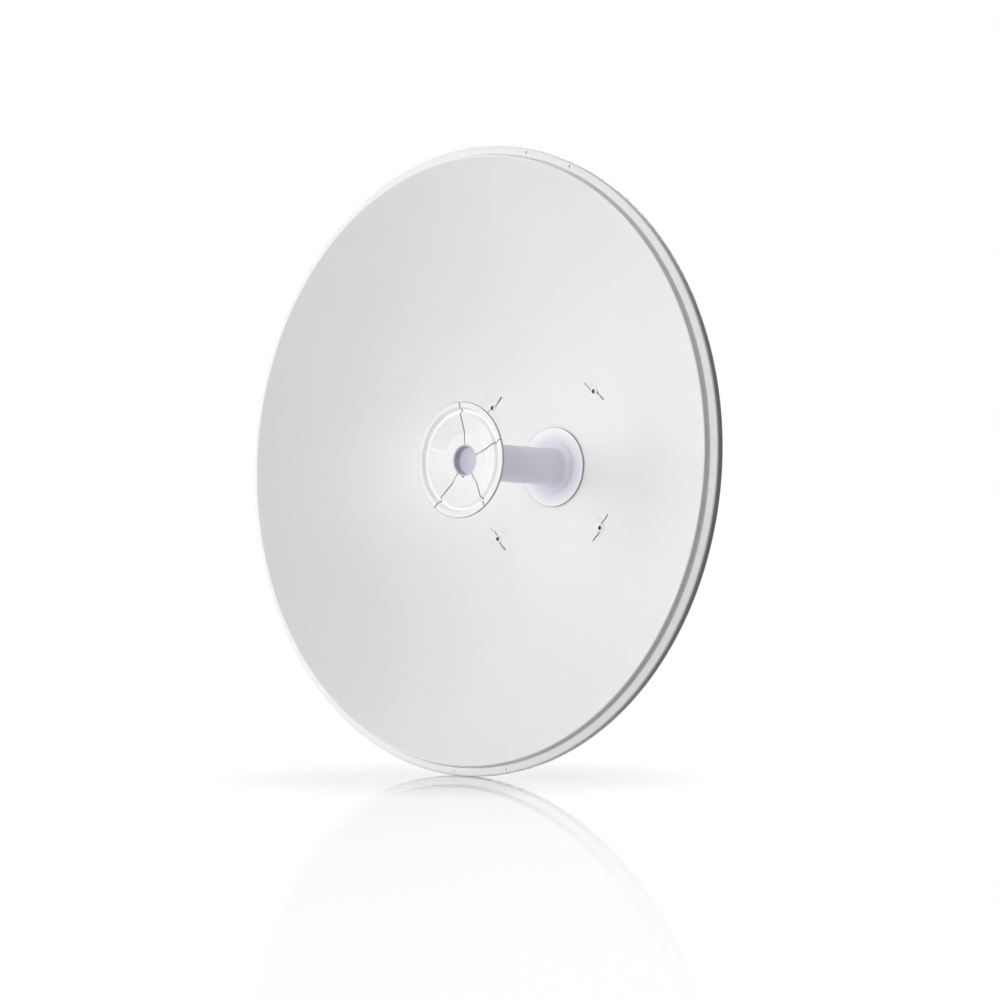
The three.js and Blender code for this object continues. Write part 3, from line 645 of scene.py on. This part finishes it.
def make_feed():
    make_cap()
    front = VERTEX_Y - 5.2
    back = VERTEX_Y - 0.9
    collar = place(lathe("feed_collar", soft_path([
        (TUBE_RADIUS + 0.5, back, 0.2), (28, back - dish_depth(28), 1), (COLLAR_RADIUS - 1, front + 1.5, 0.2),
        (COLLAR_RADIUS, front + 1.2, 0.2), (COLLAR_RADIUS, front, 0.7), (TUBE_RADIUS + 0.5, front, 0.3),
    ]), 160), "feed_collar")
    # the collar's material holds painted shade close to the tube
    collar.data.materials[0] = collar_plastic_painted_shade()
    # painted shade on the collar's outer edge, which outlines it
    repaint(collar, lambda c: math.hypot(c.x, c.z) > (COLLAR_RADIUS - 0.9) * MM, GROOVE_SHADE)
    foot = front - GAP
    top = CAP_FRONT_Y + CAP_BACK + GAP
    tube = place(lathe("feed_tube", soft_path([
        (TUBE_RADIUS - 2.4, top, 0.3), (TUBE_RADIUS, top, 0.4), (TUBE_RADIUS, foot - 0.6, 9),
        (TUBE_RADIUS + 9, foot - 0.6, 0.3), (TUBE_RADIUS + 9, foot, 0.2), (TUBE_RADIUS, foot, 0),
        (TUBE_RADIUS, TUBE_END_Y, 0.4), (TUBE_RADIUS - 2.4, TUBE_END_Y, 0.4),
    ], steps=8), 96), "feed_tube")
    tube.data.materials[0] = tube_plastic("pale_lavender_moulding", (0.73, 0.715, 0.81), (0.78, 0.765, 0.86))
    place(lathe("tube_end_cup", depth_profile([
        (0, 16, 0), (14.9, 16, 1.2), (14.9, CAP_FLOOR + GAP, 0.3), (CAP_HOLE - GAP, CAP_FLOOR + GAP, 0.3),
        (CAP_HOLE - GAP, CAP_BACK + GAP, 0.1), (16.9, CAP_BACK + GAP, 0.3), (16.9, 18, 0.5), (0, 18, 0),
    ], CAP_FRONT_Y), 96), "tube_end_cup")
    place(lathe("splash_plate", depth_profile([
        (20.6, CAP_BACK + GAP, 0.2), (29.2, CAP_BACK + GAP, 2), (46.2, 4.6, 0.3), (46.2, 5.8, 0.3),
        (29.2, 11.3, 2), (20.6, 11.3, 0.2),
    ], CAP_FRONT_Y), 128), "splash_plate")
    guide = CAP_FRONT_Y + 52
    place(lathe("waveguide", soft_path([
        (13, guide, 0.3), (15, guide, 0.3), (15, GUIDE_END_Y, 0.3), (13, GUIDE_END_Y, 0.3),
    ]), 64), "waveguide")
    place(lathe("dielectric_plug", soft_path([
        (0, guide - 28, 0), (5, guide - 27, 2), (14.6, guide - 3, 1), (14.6, guide - GAP, 0.2),
        (12.6, guide - GAP, 0.2), (12.6, guide + 8, 1), (0, guide + 24, 0),
    ]), 64), "dielectric_plug")
    place(lathe("feed_gasket", soft_path([
        (TUBE_RADIUS + 0.6, -129.4, 0.5), (26, -129.4, 0.5), (26, -128, 0.5), (TUBE_RADIUS + 0.6, -128, 0.5),
    ]), 80), "feed_gasket")
    lock = lathe("feed_lock_ring", soft_path([
        (TUBE_RADIUS + 0.5, -127.7, 0.3), (27.5, -127.7, 0.5), (27.5, -122, 0.8),
        (TUBE_RADIUS + 0.5, -122, 0.3),
    ]), 96)
    slots = [moved(block("slot", -40, 40, -124, -118, -1.5, 1.5), turn=("Y", a)) for a in (0, 60, 120)]
    place(cut(lock, slots), "feed_lock_ring")


# ---- fasteners ----------------------------------------------------------------------------------
THREAD_DEPTH = 0.55              # of the pitch
HEX_FLAT = 1.65                  # a hexagon's flat, from its centre, in shank radii
NUT_FLANGE = 0.8


def thread(radius, start, end, pitch):
    """The outline of a thread from start to end along Y, as (radius, y)."""
    root = radius - THREAD_DEPTH * pitch
    ridges = int((end - start) / pitch)
    outline = []
    for k in range(ridges):
        at = start + k * pitch
        outline += [(root, at), (radius, at + 0.42 * pitch), (radius, at + 0.58 * pitch)]
    return outline + [(root, start + ridges * pitch)]


def hexagon(flat_radius):
    corner = flat_radius / math.cos(math.pi / 6)
    return circle(0, 0, corner, 30, 330, 5)


def hex_body(flat_radius, low, high, chamfer_low):
    """A hexagon along Y, chamfered at its low end or at its high end."""
    corner = flat_radius / math.cos(math.pi / 6) + 0.02
    face = flat_radius * 0.95
    drop = (corner - face) * 0.55
    if chamfer_low:
        outline = [(0, low), (face, low), (corner, low + drop), (corner, high + 1), (0, high + 1)]
    else:
        outline = [(0, low - 1), (corner, low - 1), (corner, high - drop), (face, high), (0, high)]
    body = prism("hex", hexagon(flat_radius), low, high, "Y")
    return combine(body, [lathe("chamfer", outline, 48)], "INTERSECT")


def hex_nut(size, seat, height):
    """A flanged nut whose flange sits at y = seat."""
    shank = size[0]
    flat = shank * HEX_FLAT
    wide, narrow = shank + 0.9, shank + 0.3
    nut = hex_body(flat, seat + NUT_FLANGE, seat + height, False)
    flange = lathe("flange", soft_path([
        (0, seat, 0), (flat * 1.26, seat, 0.2), (flat * 1.26, seat + NUT_FLANGE, 0.35),
        (flat * 0.98, seat + 1.8, 0.3), (0, seat + 1.8, 0),
    ]), 56)
    bore = lathe("bore", [
        (0, seat - 3), (wide, seat - 3), (narrow, seat + 0.7), (narrow, seat + height - 0.6),
        (wide, seat + height + 3), (0, seat + height + 3),
    ], SMALL)
    return cut(combine(nut, [flange]), [bore])


def threaded_end(size, start, end):
    """The outline of a bolt's thread and its tip, which ends on the axis at y = end."""
    shank, pitch = size
    tip = shank - THREAD_DEPTH * pitch
    return thread(shank - 0.02, start, end - 0.8, pitch) + [(tip - 0.3, end), (0, end)]


def hex_bolt(size, seat, end):
    """Its head's seat is at y = seat and its threaded end at y = end, further along Y."""
    shank = size[0]
    head = hex_body(shank * HEX_FLAT, seat - shank * 1.35, seat, True)
    neck = [(0, seat - 1), (shank - 0.05, seat - 1), (shank - 0.05, seat + 1)]
    return combine(head, [lathe("shaft", neck + threaded_end(size, seat + 1.2, end), SMALL)])


def button_bolt(size, seat, end, plain=0.6, socket_flat=0.62, rise=1.1):
    """A domed socket bolt: the dome's seat is at y = seat and its threaded end at y = end."""
    shank = size[0]
    head, high = shank * 1.74, shank * rise
    outline = [(0, seat - high)]
    for turn in range(12, 91, 6):
        a = math.radians(turn)
        outline.append((head * math.sin(a) ** 0.9, seat - 0.35 - (high - 0.35) * math.cos(a)))
    outline += [(head, seat - 0.1), (head - 0.1, seat), (shank - 0.05, seat), (shank - 0.05, seat + plain)]
    bolt = lathe("bolt", outline + threaded_end(size, seat + plain + 0.2, end), SMALL)
    socket_floor = seat - high + min(0.8 * shank, high + 1)
    return cut(bolt, [prism("socket", hexagon(shank * socket_flat), seat - high - 1, socket_floor, "Y")])


def make_fasteners():
    seat = PAD_FRONT_Y - GAP
    for i, (x, z) in enumerate(bolt_places(), 1):
        bolt = button_bolt(M5, seat, -110, 24, socket_flat=0.84, rise=0.4)
        place(moved(bolt, x, 0, z), f"bracket_bolt_{i}")
        painted = lambda c: c.y < seat * MM
        in_socket = lambda c: painted(c) and math.hypot(c.x - x * MM, c.z - z * MM) < 2.35 * MM
        repaint(bolt, painted, MATERIAL["dish_paint"])
        # painted shade in each bolt's hex socket; the rest of the dome takes the dish's white paint
        repaint(bolt, in_socket, SOCKET_SHADE)
        place(moved(hex_nut(M5, FRAME_REAR_Y + GAP, 6), x, 0, z), f"bracket_nut_{i}")
    for i, (x, z) in enumerate(square_corners(TAB_SQUARE), 1):
        screw = moved(button_bolt(M4, 0, 11), turn=("X", 180))
        place(moved(screw, x, COVER_FRONT_Y + 2.8, z), f"housing_screw_{i}")
    for i, (sx, sz) in enumerate(square_corners(1), 1):
        x, z = sx * CLAMP_X, sz * CLAMP_Z
        place(moved(button_bolt(M8, WEB_Y - GAP, 95, 14), x, 0, z), f"clamp_bolt_{i}")
        place(moved(hex_nut(M8, -WEB_Y + GAP, 8), x, 0, z), f"clamp_nut_{i}")
    head_seat = EAR_X + EAR_THICK + GAP
    nut_seat = CHEEK_OUT - CHEEK_THICK - GAP
    for side, turn in (("right", 90), ("left", -90)):
        for use, z in (("pivot", 0), ("lock", -LOCK_DROP)):
            bolt = moved(hex_bolt(M8, -head_seat, -49), turn=("Z", turn))
            place(moved(bolt, 0, PIVOT_Y, z), f"{use}_bolt_{side}")
            nut = moved(hex_nut(M8, -nut_seat, 8), turn=("Z", turn))
            place(moved(nut, 0, PIVOT_Y, z), f"{use}_nut_{side}")
    screw = moved(hex_bolt(M5, 0, 14), turn=("X", 180))
    place(moved(screw, GROUND_X, FRAME_REAR_Y + 1.8, GROUND_Z), "ground_screw")
    washer = lathe("washer", soft_path([
        (2.8, FRAME_REAR_Y + GAP, 0.1), (6, FRAME_REAR_Y + GAP, 0.3), (6, FRAME_REAR_Y + 1.5, 0.3),
        (2.8, FRAME_REAR_Y + 1.5, 0.1),
    ]), 48)
    place(moved(washer, GROUND_X, 0, GROUND_Z), "ground_washer")


# ---- dish frame ---------------------------------------------------------------------------------
def rounded_square(half, radius):
    return soft_path([
        (-half, -half, radius), (half, -half, radius), (half, half, radius), (-half, half, radius),
    ], steps=12)


def make_frame():
    body = prism("dish_frame", rounded_square(FRAME_HALF, 14), FRAME_FRONT_Y - 4, FRAME_REAR_Y, "Y")
    cut(body, [prism("hollow", rounded_square(FRAME_HALF - 4, 10), FRAME_FRONT_Y - 9, FRAME_FRONT_Y, "Y")])
    cut(body, [rod("bore", HOUSING_RADIUS + 3, -150, -100, "Y", 0, 0, 96)])
    added = [rod("boss", 8.8, VERTEX_Y - 14.6, FRAME_REAR_Y - 1, "Y", x, z) for x, z in bolt_places()]
    ear = [(FRAME_REAR_Y - 2, -50)] + circle(PIVOT_Y, -LOCK_DROP, EAR_END, -108, 0, 14)
    ear += circle(PIVOT_Y, 0, EAR_END, 0, 108, 14) + [(FRAME_REAR_Y - 2, 34)]
    web = [(EAR_X + 2, FRAME_REAR_Y - 2), (FRAME_HALF - 3, FRAME_REAR_Y - 2), (EAR_X + 2, FRAME_REAR_Y + 24)]
    for side in (-1, 1):
        inner, outer = sorted((side * EAR_X, side * (EAR_X + EAR_THICK)))
        added.append(prism("ear", ear, inner, outer, "X"))
        for z in ((-26, 18) if side > 0 else (26, -18)):
            added.append(prism("gusset", [(side * x, y) for x, y in web], z - 2.5, z + 2.5, "Z"))
    combine(body, added)
    holes = [rod("hole", M5_HOLE, -160, -100, "Y", x, z) for x, z in bolt_places()]
    holes += [rod("hole", M8_HOLE, -90, 90, "X", PIVOT_Y, z) for z in (0, -LOCK_DROP)]
    holes += [rod("hole", M4_HOLE, -140, -110, "Y", x, z) for x, z in square_corners(TAB_SQUARE)]
    holes.append(rod("hole", GROUND_HOLE, -140, -110, "Y", GROUND_X, GROUND_Z))
    place(bevel(cut(body, holes), 0.7), "dish_frame")


# ---- radio housing ------------------------------------------------------------------------------
def tabs(low, high):
    return [moved(rod("tab", 9, low, high, "Y"), x, 0, z) for x, z in square_corners(TAB_SQUARE - 2)]


def screw_holes():
    return [rod("hole", M4_HOLE, -140, -100, "Y", x, z) for x, z in square_corners(TAB_SQUARE)]


def make_base():
    base = lathe("radio_base", soft_path([
        (15.6, BASE_FRONT_Y, 0.3), (58.6, BASE_FRONT_Y, 0.8), (58.6, BASE_REAR_Y, 0.3),
        (57, BASE_REAR_Y, 0.3), (57, BASE_FLOOR_Y, 0.2), (51, BASE_FLOOR_Y, 0.3), (51, -114.2, 0.3),
        (48.5, -114.2, 0.3), (48.5, BASE_FLOOR_Y, 0.3), (15.6, BASE_FLOOR_Y, 0.3),
    ]), FINE)
    clear = rod("clear", HOUSING_RADIUS, -125, -110, "Y", 0, 0, 96)
    feet = tabs(FRAME_REAR_Y + GAP, BASE_REAR_Y)
    ring = cut(combine(feet[0], feet[1:]), [clear])
    posts = [rod("post", 3.2, BASE_FRONT_Y + 2, -106.6, "Y", x, z) for x, z in square_corners(32)]
    place(cut(combine(base, [ring] + posts), screw_holes()), "radio_base")
    place(lathe("housing_gasket", soft_path([
        (51.4, -118.9, 0.6), (56.4, -118.9, 0.6), (56.4, BASE_REAR_Y, 0.6), (51.4, BASE_REAR_Y, 0.6),
    ]), FINE), "housing_gasket")


def hinge_rod(name, x0, x1, radius):
    return rod(name, radius, x0, x1, "X", HINGE_Y, HINGE_Z, 32)


def pin_bore():
    return hinge_rod("pin", -PORT_X - 5, PORT_X + 5, 1.5)


def make_cover():
    cover = lathe("radio_cover", soft_path([
        (0, COVER_FRONT_Y, 0), (HOUSING_RADIUS, COVER_FRONT_Y, 0.5), (HOUSING_RADIUS, HOUSING_REAR_Y, 4.5),
        (0, HOUSING_REAR_Y, 0),
    ], steps=8), FINE)
    hood = block("hood", -PORT_X, PORT_X, COVER_FRONT_Y + 1, HOUSING_REAR_Y - 1, PORT_FLOOR_Z, -45)
    feet = tabs(COVER_FRONT_Y, COVER_FRONT_Y + 2.5)
    combine(cover, [hood] + feet)
    combine(cover, [block("rib", x - 0.8, x + 0.8, HOUSING_REAR_Y - 2, HOUSING_REAR_Y + 1.4, -18, 38, 0.8)
                    for x in range(-28, 29, 8)])
    bevel(cover, 0.9)
    cut(cover, [
        rod("hollow", HOUSING_RADIUS - 2.6, COVER_FRONT_Y - 5, HOUSING_REAR_Y - 3, "Y", 0, 0, 96),
        block("well", -PORT_X + 2.5, PORT_X - 2.5, COVER_FRONT_Y + 3.4, HOUSING_REAR_Y - 3.5,
              PORT_FLOOR_Z - 1, -40),
    ])
    ends = ((-PORT_X, -PORT_X + 7), (PORT_X - 7, PORT_X))
    lugs = [block("lug", a, b, HINGE_Y - 6, HINGE_Y, PORT_FLOOR_Z + 0.1, PORT_FLOOR_Z + 5) for a, b in ends]
    barrels = [hinge_rod("barrel", a, b, 2.8) for a, b in ends]
    combine(cover, lugs + barrels)
    panel = [
        block("window", -12.3, 12.3, -100, -80, PANEL_Z - 2.3, PANEL_Z + 2.3, 1),
        rod("button", 3.4, -100, -80, "Y", BUTTON_X, PANEL_Z),
        rod("vent", 4.3, -100, -80, "Y", -BUTTON_X, PANEL_Z),
        pin_bore(),
    ]
    place(cut(cover, screw_holes() + panel), "radio_cover")


def make_panel_parts():
    window = block("led_window", -12, 12, -96.5, -91.6, PANEL_Z - 2, PANEL_Z + 2, 0.9)
    place(bevel(window, 0.35), "led_window")
    key = lathe("reset_button", soft_path([
        (0, -97.2, 0), (4.4, -97.2, 0.3), (4.4, -95.3, 0.2), (3, -95.3, 0.1), (3, -91.2, 0.5),
        (1.6, -91.2, 0.6), (0, -91.7, 0),
    ]), 48)
    place(moved(key, BUTTON_X, 0, PANEL_Z), "reset_button")
    vent = lathe("vent_plug", soft_path([
        (0, -97, 0), (4, -97, 0.3), (4, -91.7, 0.1), (6.2, -91.7, 0.2), (6.2, -90.2, 0.5),
        (5.2, -89.8, 0.4), (0, -89.8, 0),
    ]), 48)
    grilles = [block("slot", -3.6, 3.6, -90.6, -89, v - 0.45, v + 0.45, 0.4) for v in (-2.4, -0.8, 0.8, 2.4)]
    place(moved(cut(vent, grilles), -BUTTON_X, 0, PANEL_Z), "vent_plug")


def make_door():
    top = PORT_FLOOR_Z - GAP
    under = top - 2.6
    front, rear = COVER_FRONT_Y + 1, HINGE_Y - 3.6
    door = prism("port_door", soft_path([
        (-PORT_X, front, 2), (PORT_X, front, 2), (PORT_X, rear, 0.5), (-PORT_X, rear, 0.5),
    ]), under, top, "Z")
    combine(door, [block("arm", -PORT_X + 7.5, PORT_X - 7.5, HINGE_Y - 5, HINGE_Y, under, top)])
    bevel(door, 0.5)
    combine(door, [hinge_rod("barrel", -PORT_X + 7.5, PORT_X - 7.5, 2.6)])
    place(cut(door, [pin_bore(), rod("hole", 5.3, -90, -60, "Z", 0, GROMMET_Y)]), "port_door")
    pin = lathe("door_pin", soft_path([(0, -18.6, 0), (1.2, -18.6, 0.3), (1.2, 18.6, 0.3), (0, 18.6, 0)]), 32)
    place(moved(moved(pin, turn=("Z", 90)), 0, HINGE_Y, HINGE_Z), "door_pin")
    low, high = under - GAP - 1.8, top + GAP + 1.6
    grommet = lathe("cable_grommet", soft_path([
        (0, high - 1, 0), (2.6, high - 1, 0.4), (3.4, high, 0.3), (6.6, high, 0.4), (6.6, top + GAP, 0.3),
        (5, top + GAP, 0.1), (5, under - GAP, 0.1), (7, under - GAP, 0.2), (5.6, low, 0.5), (3.4, low, 0.4),
        (2.6, low + 1.2, 0.4), (0, low + 1.2, 0),
    ]), 56)
    place(moved(moved(grommet, turn=("X", 90)), 0, GROMMET_Y, 0), "cable_grommet")


# ---- pole bracket -------------------------------------------------------------------------------
VEE_PITCH = 5.6
TOOTH = 1.5
POLE_RADIUS = 25
FLANGE_X = 36
LOCK_SLOT_START = -122           # degrees about the pivot; -90 is straight below it
LOCK_SLOT_END = -73
LOCK_SLOT_HALF = 4.5             # half of the slot's width
CHEEK_REACH = 41                 # from the pivot to the cheek's edge below the lock slot


def vee_flange(side, root, z):
    """A plate with a toothed vee, in front of the pole (side -1) or behind it (side 1)."""
    flank = []
    along = POLE_RADIUS - 3
    while along > -POLE_RADIUS + VEE_PITCH:
        flank += [(along, POLE_RADIUS), (along - VEE_PITCH / 2, POLE_RADIUS + TOOTH)]
        along -= VEE_PITCH
    slant = math.sqrt(0.5)
    right = [((a + out) * slant, (a - out) * slant) for a, out in flank]
    left = [(-x, y) for x, y in reversed(right)]
    mouth = right[0][1]
    outline = [(FLANGE_X, root), (FLANGE_X, mouth)] + right + left + [(-FLANGE_X, mouth), (-FLANGE_X, root)]
    half = CHEEK_THICK / 2
    return prism("flange", [(x, -side * y) for x, y in outline], z - half, z + half, "Z")


def lock_slot():
    """The arc that the lock bolts run in as the dish tilts."""
    start, end, half = LOCK_SLOT_START, LOCK_SLOT_END, LOCK_SLOT_HALF
    tip = lambda a: (PIVOT_Y + LOCK_DROP * math.cos(math.radians(a)), LOCK_DROP * math.sin(math.radians(a)))
    outline = circle(PIVOT_Y, 0, LOCK_DROP + half, start, end, 20)
    outline += circle(*tip(end), half, end, end + 180, 10)[1:]
    outline += circle(PIVOT_Y, 0, LOCK_DROP - half, end, start, 20)[1:]
    outline += circle(*tip(start), half, start + 180, start + 360, 10)[1:-1]
    return prism("slot", outline, -90, 90, "X")


def clamp_holes():
    return [rod("hole", M8_HOLE, -60, 60, "Y", sx * CLAMP_X, sz * CLAMP_Z) for sx, sz in square_corners(1)]


def make_bracket():
    rear = WEB_Y + CHEEK_THICK
    web = soft_path([(-CHEEK_OUT, -BRACKET_HALF_Z, 3), (CHEEK_OUT, -BRACKET_HALF_Z, 3),
                     (CHEEK_OUT, BRACKET_HALF_Z, 3), (-CHEEK_OUT, BRACKET_HALF_Z, 3)])
    body = prism("pole_bracket", web, WEB_Y, rear, "Y")
    cheek = [(rear, -BRACKET_HALF_Z + 6), (rear, BRACKET_HALF_Z - 6)]
    cheek += circle(PIVOT_Y, 0, EAR_END, 75.6, 180, 14) + circle(PIVOT_Y, 0, CHEEK_REACH, -136.8, -54, 24)
    added = [prism("cheek", cheek, CHEEK_OUT - CHEEK_THICK, CHEEK_OUT, "X"),
             prism("cheek", cheek, -CHEEK_OUT, -CHEEK_OUT + CHEEK_THICK, "X"),
             vee_flange(-1, WEB_Y + 1, CLAMP_Z), vee_flange(-1, WEB_Y + 1, -CLAMP_Z)]
    combine(body, added)
    cut(body, [rod("hole", M8_HOLE, -90, 90, "X", PIVOT_Y, 0), lock_slot()] + clamp_holes())
    place(bevel(body, 0.45), "pole_bracket")
    for node, z in (("upper_jaw", CLAMP_Z), ("lower_jaw", -CLAMP_Z)):
        plate = soft_path([(-60, z - 15, 3), (60, z - 15, 3), (60, z + 15, 3), (-60, z + 15, 3)])
        jaw = prism(node, plate, -rear, -WEB_Y, "Y")
        combine(jaw, [vee_flange(1, WEB_Y + 1, z + s * 13.5) for s in (-1, 1)])
        place(bevel(cut(jaw, clamp_holes()), 0.45), node)


make_reflector()
make_feed()
make_fasteners()
make_frame()
make_base()
make_cover()
make_panel_parts()
make_door()
make_bracket()
for name in ("radio_board", "rf_shield", "feed_probe", "heat_spreader", "ethernet_jack"):
    node = frame["nodes"][name]
    node.data.materials.clear()
    node.data.materials.append(MATERIAL[SLOT_OF[name]])

# ---- floor, light and camera --------------------------------------------------------------------
scene = bpy.context.scene
RIM_CENTRE = Vector((0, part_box("reflector")[0].y + 5 * MM, 0))
FLOOR_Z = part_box("reflector")[0].z
MIRROR_HALF = 0.28               # metres from the foot at which the floor's mirroring has halved
MIRROR_END = 1.5
MIRROR_WEIGHT = 0.78
SHADOW_END = 0.27
SHADOW_WEIGHT = 0.85
FLOOR_HALF = 40
FLOOR_SPAN = (-0.35, 0.25)       # where, from left to right, the light the floor gives back changes
FLOOR_BOUNCE = (0.46, 0.03)      # light that the floor gives back on the left and on the right
WORLD_AZIMUTH = -50
WORLD_ELEVATION = -6
WORLD_EDGE = 0.5
WORLD_DARK = 0.02
WORLD_BRIGHT = 1.1
SOFTBOXES = [
    # name, azimuth, elevation, distance, width, height, power
    ("key", 1, -5, 3.0, 1.25, 1.9, 104),
    ("left", -60, 4, 2.4, 1.2, 1.4, 6),
    ("top", -100, 66, 2.4, 1.6, 1.6, 14),
    ("rear", 198, 26, 2.6, 2.2, 1.8, 44),
]
CAMERA_LENS = 76.65
CAMERA_PLACE = (1499.37, -1602.22, -155.85)      # millimetres from the rim's centre
CAMERA_BACK = (0.66903, -0.74140, -0.05211)
CAMERA_RIGHT = (0.74242, 0.66994, 0.00013)


def direction(azimuth, elevation):
    """From the object towards a viewer; azimuth 0 is straight in front of the dish."""
    a, e = math.radians(azimuth), math.radians(elevation)
    return Vector((math.sin(a) * math.cos(e), -math.cos(a) * math.cos(e), math.sin(e)))


def math_node(nodes, links, operation, *values):
    """A math node fed by numbers or by other nodes' outputs."""
    node = nodes.new("ShaderNodeMath")
    node.operation = operation
    for socket, value in zip(node.inputs, values):
        if isinstance(value, bpy.types.NodeSocket):
            links.new(value, socket)
        else:
            socket.default_value = value
    return node.outputs["Value"]


def make_floor():
    """A pale floor that mirrors the foot of the dish and fades to plain white away from it."""
    mesh = bpy.data.meshes.new("floor")
    corners = ((-FLOOR_HALF, -FLOOR_HALF, 0), (FLOOR_HALF, -FLOOR_HALF, 0),
               (FLOOR_HALF, FLOOR_HALF, 0), (-FLOOR_HALF, FLOOR_HALF, 0))
    mesh.from_pydata(corners, [], [(0, 1, 2, 3)])
    floor = bpy.data.objects.new("floor", mesh)
    floor.location = (0, RIM_CENTRE.y, FLOOR_Z)
    scene.collection.objects.link(floor)
    material = bpy.data.materials.new("pale_floor")
    material.use_nodes = True
    nodes, links = material.node_tree.nodes, material.node_tree.links
    nodes.remove(nodes["Principled BSDF"])
    length = nodes.new("ShaderNodeVectorMath")
    length.operation = "LENGTH"
    where = nodes.new("ShaderNodeTexCoord")
    links.new(where.outputs["Object"], length.inputs[0])
    away = length.outputs["Value"]
    fall = math_node(nodes, links, "DIVIDE", MIRROR_HALF, math_node(nodes, links, "ADD", away, MIRROR_HALF))
    end = math_node(nodes, links, "MULTIPLY_ADD", away, -1 / MIRROR_END, 1.0)
    end = math_node(nodes, links, "MULTIPLY", math_node(nodes, links, "MAXIMUM", end, 0.0), MIRROR_WEIGHT)
    mirror = math_node(nodes, links, "MULTIPLY", fall, end)
    near = math_node(nodes, links, "MULTIPLY_ADD", away, -1 / SHADOW_END, 1.0)
    near = math_node(nodes, links, "MAXIMUM", near, 0.0)
    white, felt = nodes.new("ShaderNodeEmission"), nodes.new("ShaderNodeEmission")
    across = nodes.new("ShaderNodeSeparateXYZ")
    links.new(where.outputs["Object"], across.inputs["Vector"])
    give = map_range(nodes, links, across.outputs["X"], *FLOOR_SPAN, *FLOOR_BOUNCE)
    links.new(give.outputs["Result"], felt.inputs["Strength"])
    matt, gloss = nodes.new("ShaderNodeBsdfDiffuse"), nodes.new("ShaderNodeBsdfGlossy")
    matt.inputs["Color"].default_value = (0.8, 0.8, 0.8, 1)
    gloss.inputs["Color"].default_value = (1, 1, 1, 1)
    gloss.inputs["Roughness"].default_value = 0.04
    ground, mirrored, lifted = (nodes.new("ShaderNodeMixShader") for _ in range(3))
    links.new(math_node(nodes, links, "MULTIPLY", near, SHADOW_WEIGHT), ground.inputs["Fac"])
    links.new(white.outputs["Emission"], ground.inputs[1])
    links.new(matt.outputs["BSDF"], ground.inputs[2])
    links.new(mirror, mirrored.inputs["Fac"])
    links.new(ground.outputs["Shader"], mirrored.inputs[1])
    links.new(gloss.outputs["BSDF"], mirrored.inputs[2])
    links.new(nodes.new("ShaderNodeLightPath").outputs["Is Diffuse Ray"], lifted.inputs["Fac"])
    links.new(mirrored.outputs["Shader"], lifted.inputs[1])
    links.new(felt.outputs["Emission"], lifted.inputs[2])
    links.new(lifted.outputs["Shader"], nodes["Material Output"].inputs["Surface"])
    mesh.materials.append(material)


def make_world():
    """White to look at; the light it gives comes mostly from the front, the left and above."""
    world = bpy.data.worlds.new("studio")
    scene.world = world
    world.use_nodes = True
    nodes, links = world.node_tree.nodes, world.node_tree.links
    seen, felt = nodes["Background"], nodes.new("ShaderNodeBackground")
    seen.inputs["Color"].default_value = (1, 1, 1, 1)
    seen.inputs["Strength"].default_value = 1.0
    felt.inputs["Color"].default_value = (1, 1, 1, 1)
    dot = nodes.new("ShaderNodeVectorMath")
    dot.operation = "DOT_PRODUCT"
    links.new(nodes.new("ShaderNodeTexCoord").outputs["Generated"], dot.inputs[0])
    dot.inputs[1].default_value = direction(WORLD_AZIMUTH, WORLD_ELEVATION)
    ramp = map_range(nodes, links, dot.outputs["Value"], WORLD_EDGE, 1.0, WORLD_DARK, WORLD_BRIGHT)
    ramp.interpolation_type = "SMOOTHSTEP"
    links.new(ramp.outputs["Result"], felt.inputs["Strength"])
    path = nodes.new("ShaderNodeLightPath")
    mix = nodes.new("ShaderNodeMixShader")
    links.new(path.outputs["Is Diffuse Ray"], mix.inputs["Fac"])
    links.new(seen.outputs["Background"], mix.inputs[1])
    links.new(felt.outputs["Background"], mix.inputs[2])
    links.new(mix.outputs["Shader"], nodes["World Output"].inputs["Surface"])


def softbox(name, azimuth, elevation, distance, width, height, power):
    """An area lamp that faces the rim's centre; sizes in metres, power in watts."""
    light = bpy.data.lights.new(name, "AREA")
    light.shape = "RECTANGLE"
    light.size, light.size_y, light.energy = width, height, power
    obj = bpy.data.objects.new(name, light)
    back = direction(azimuth, elevation)
    obj.location = RIM_CENTRE + back * distance
    obj.rotation_euler = back.to_track_quat("Z", "Y").to_euler()
    scene.collection.objects.link(obj)


def make_camera():
    """The aim, distance and lens give the photograph's view of the dish."""
    camera = bpy.data.cameras.new("camera")
    camera.sensor_width = 36
    camera.lens = CAMERA_LENS
    camera.clip_end = 200
    obj = bpy.data.objects.new("camera", camera)
    back = Vector(CAMERA_BACK).normalized()
    right = Vector(CAMERA_RIGHT).normalized()
    up = back.cross(right)
    obj.location = RIM_CENTRE + Vector(CAMERA_PLACE) * MM
    obj.rotation_euler = Matrix((right, up, back)).transposed().to_euler()
    scene.collection.objects.link(obj)
    scene.camera = obj


make_floor()
make_world()
for name in ("feed_cap_look", "splash_plate_look"):
    bpy.data.objects[name].visible_shadow = False    # the collar behind them stays clear of their shadow
for row in SOFTBOXES:
    softbox(*row)
make_camera()
scene.view_settings.view_transform = "Standard"
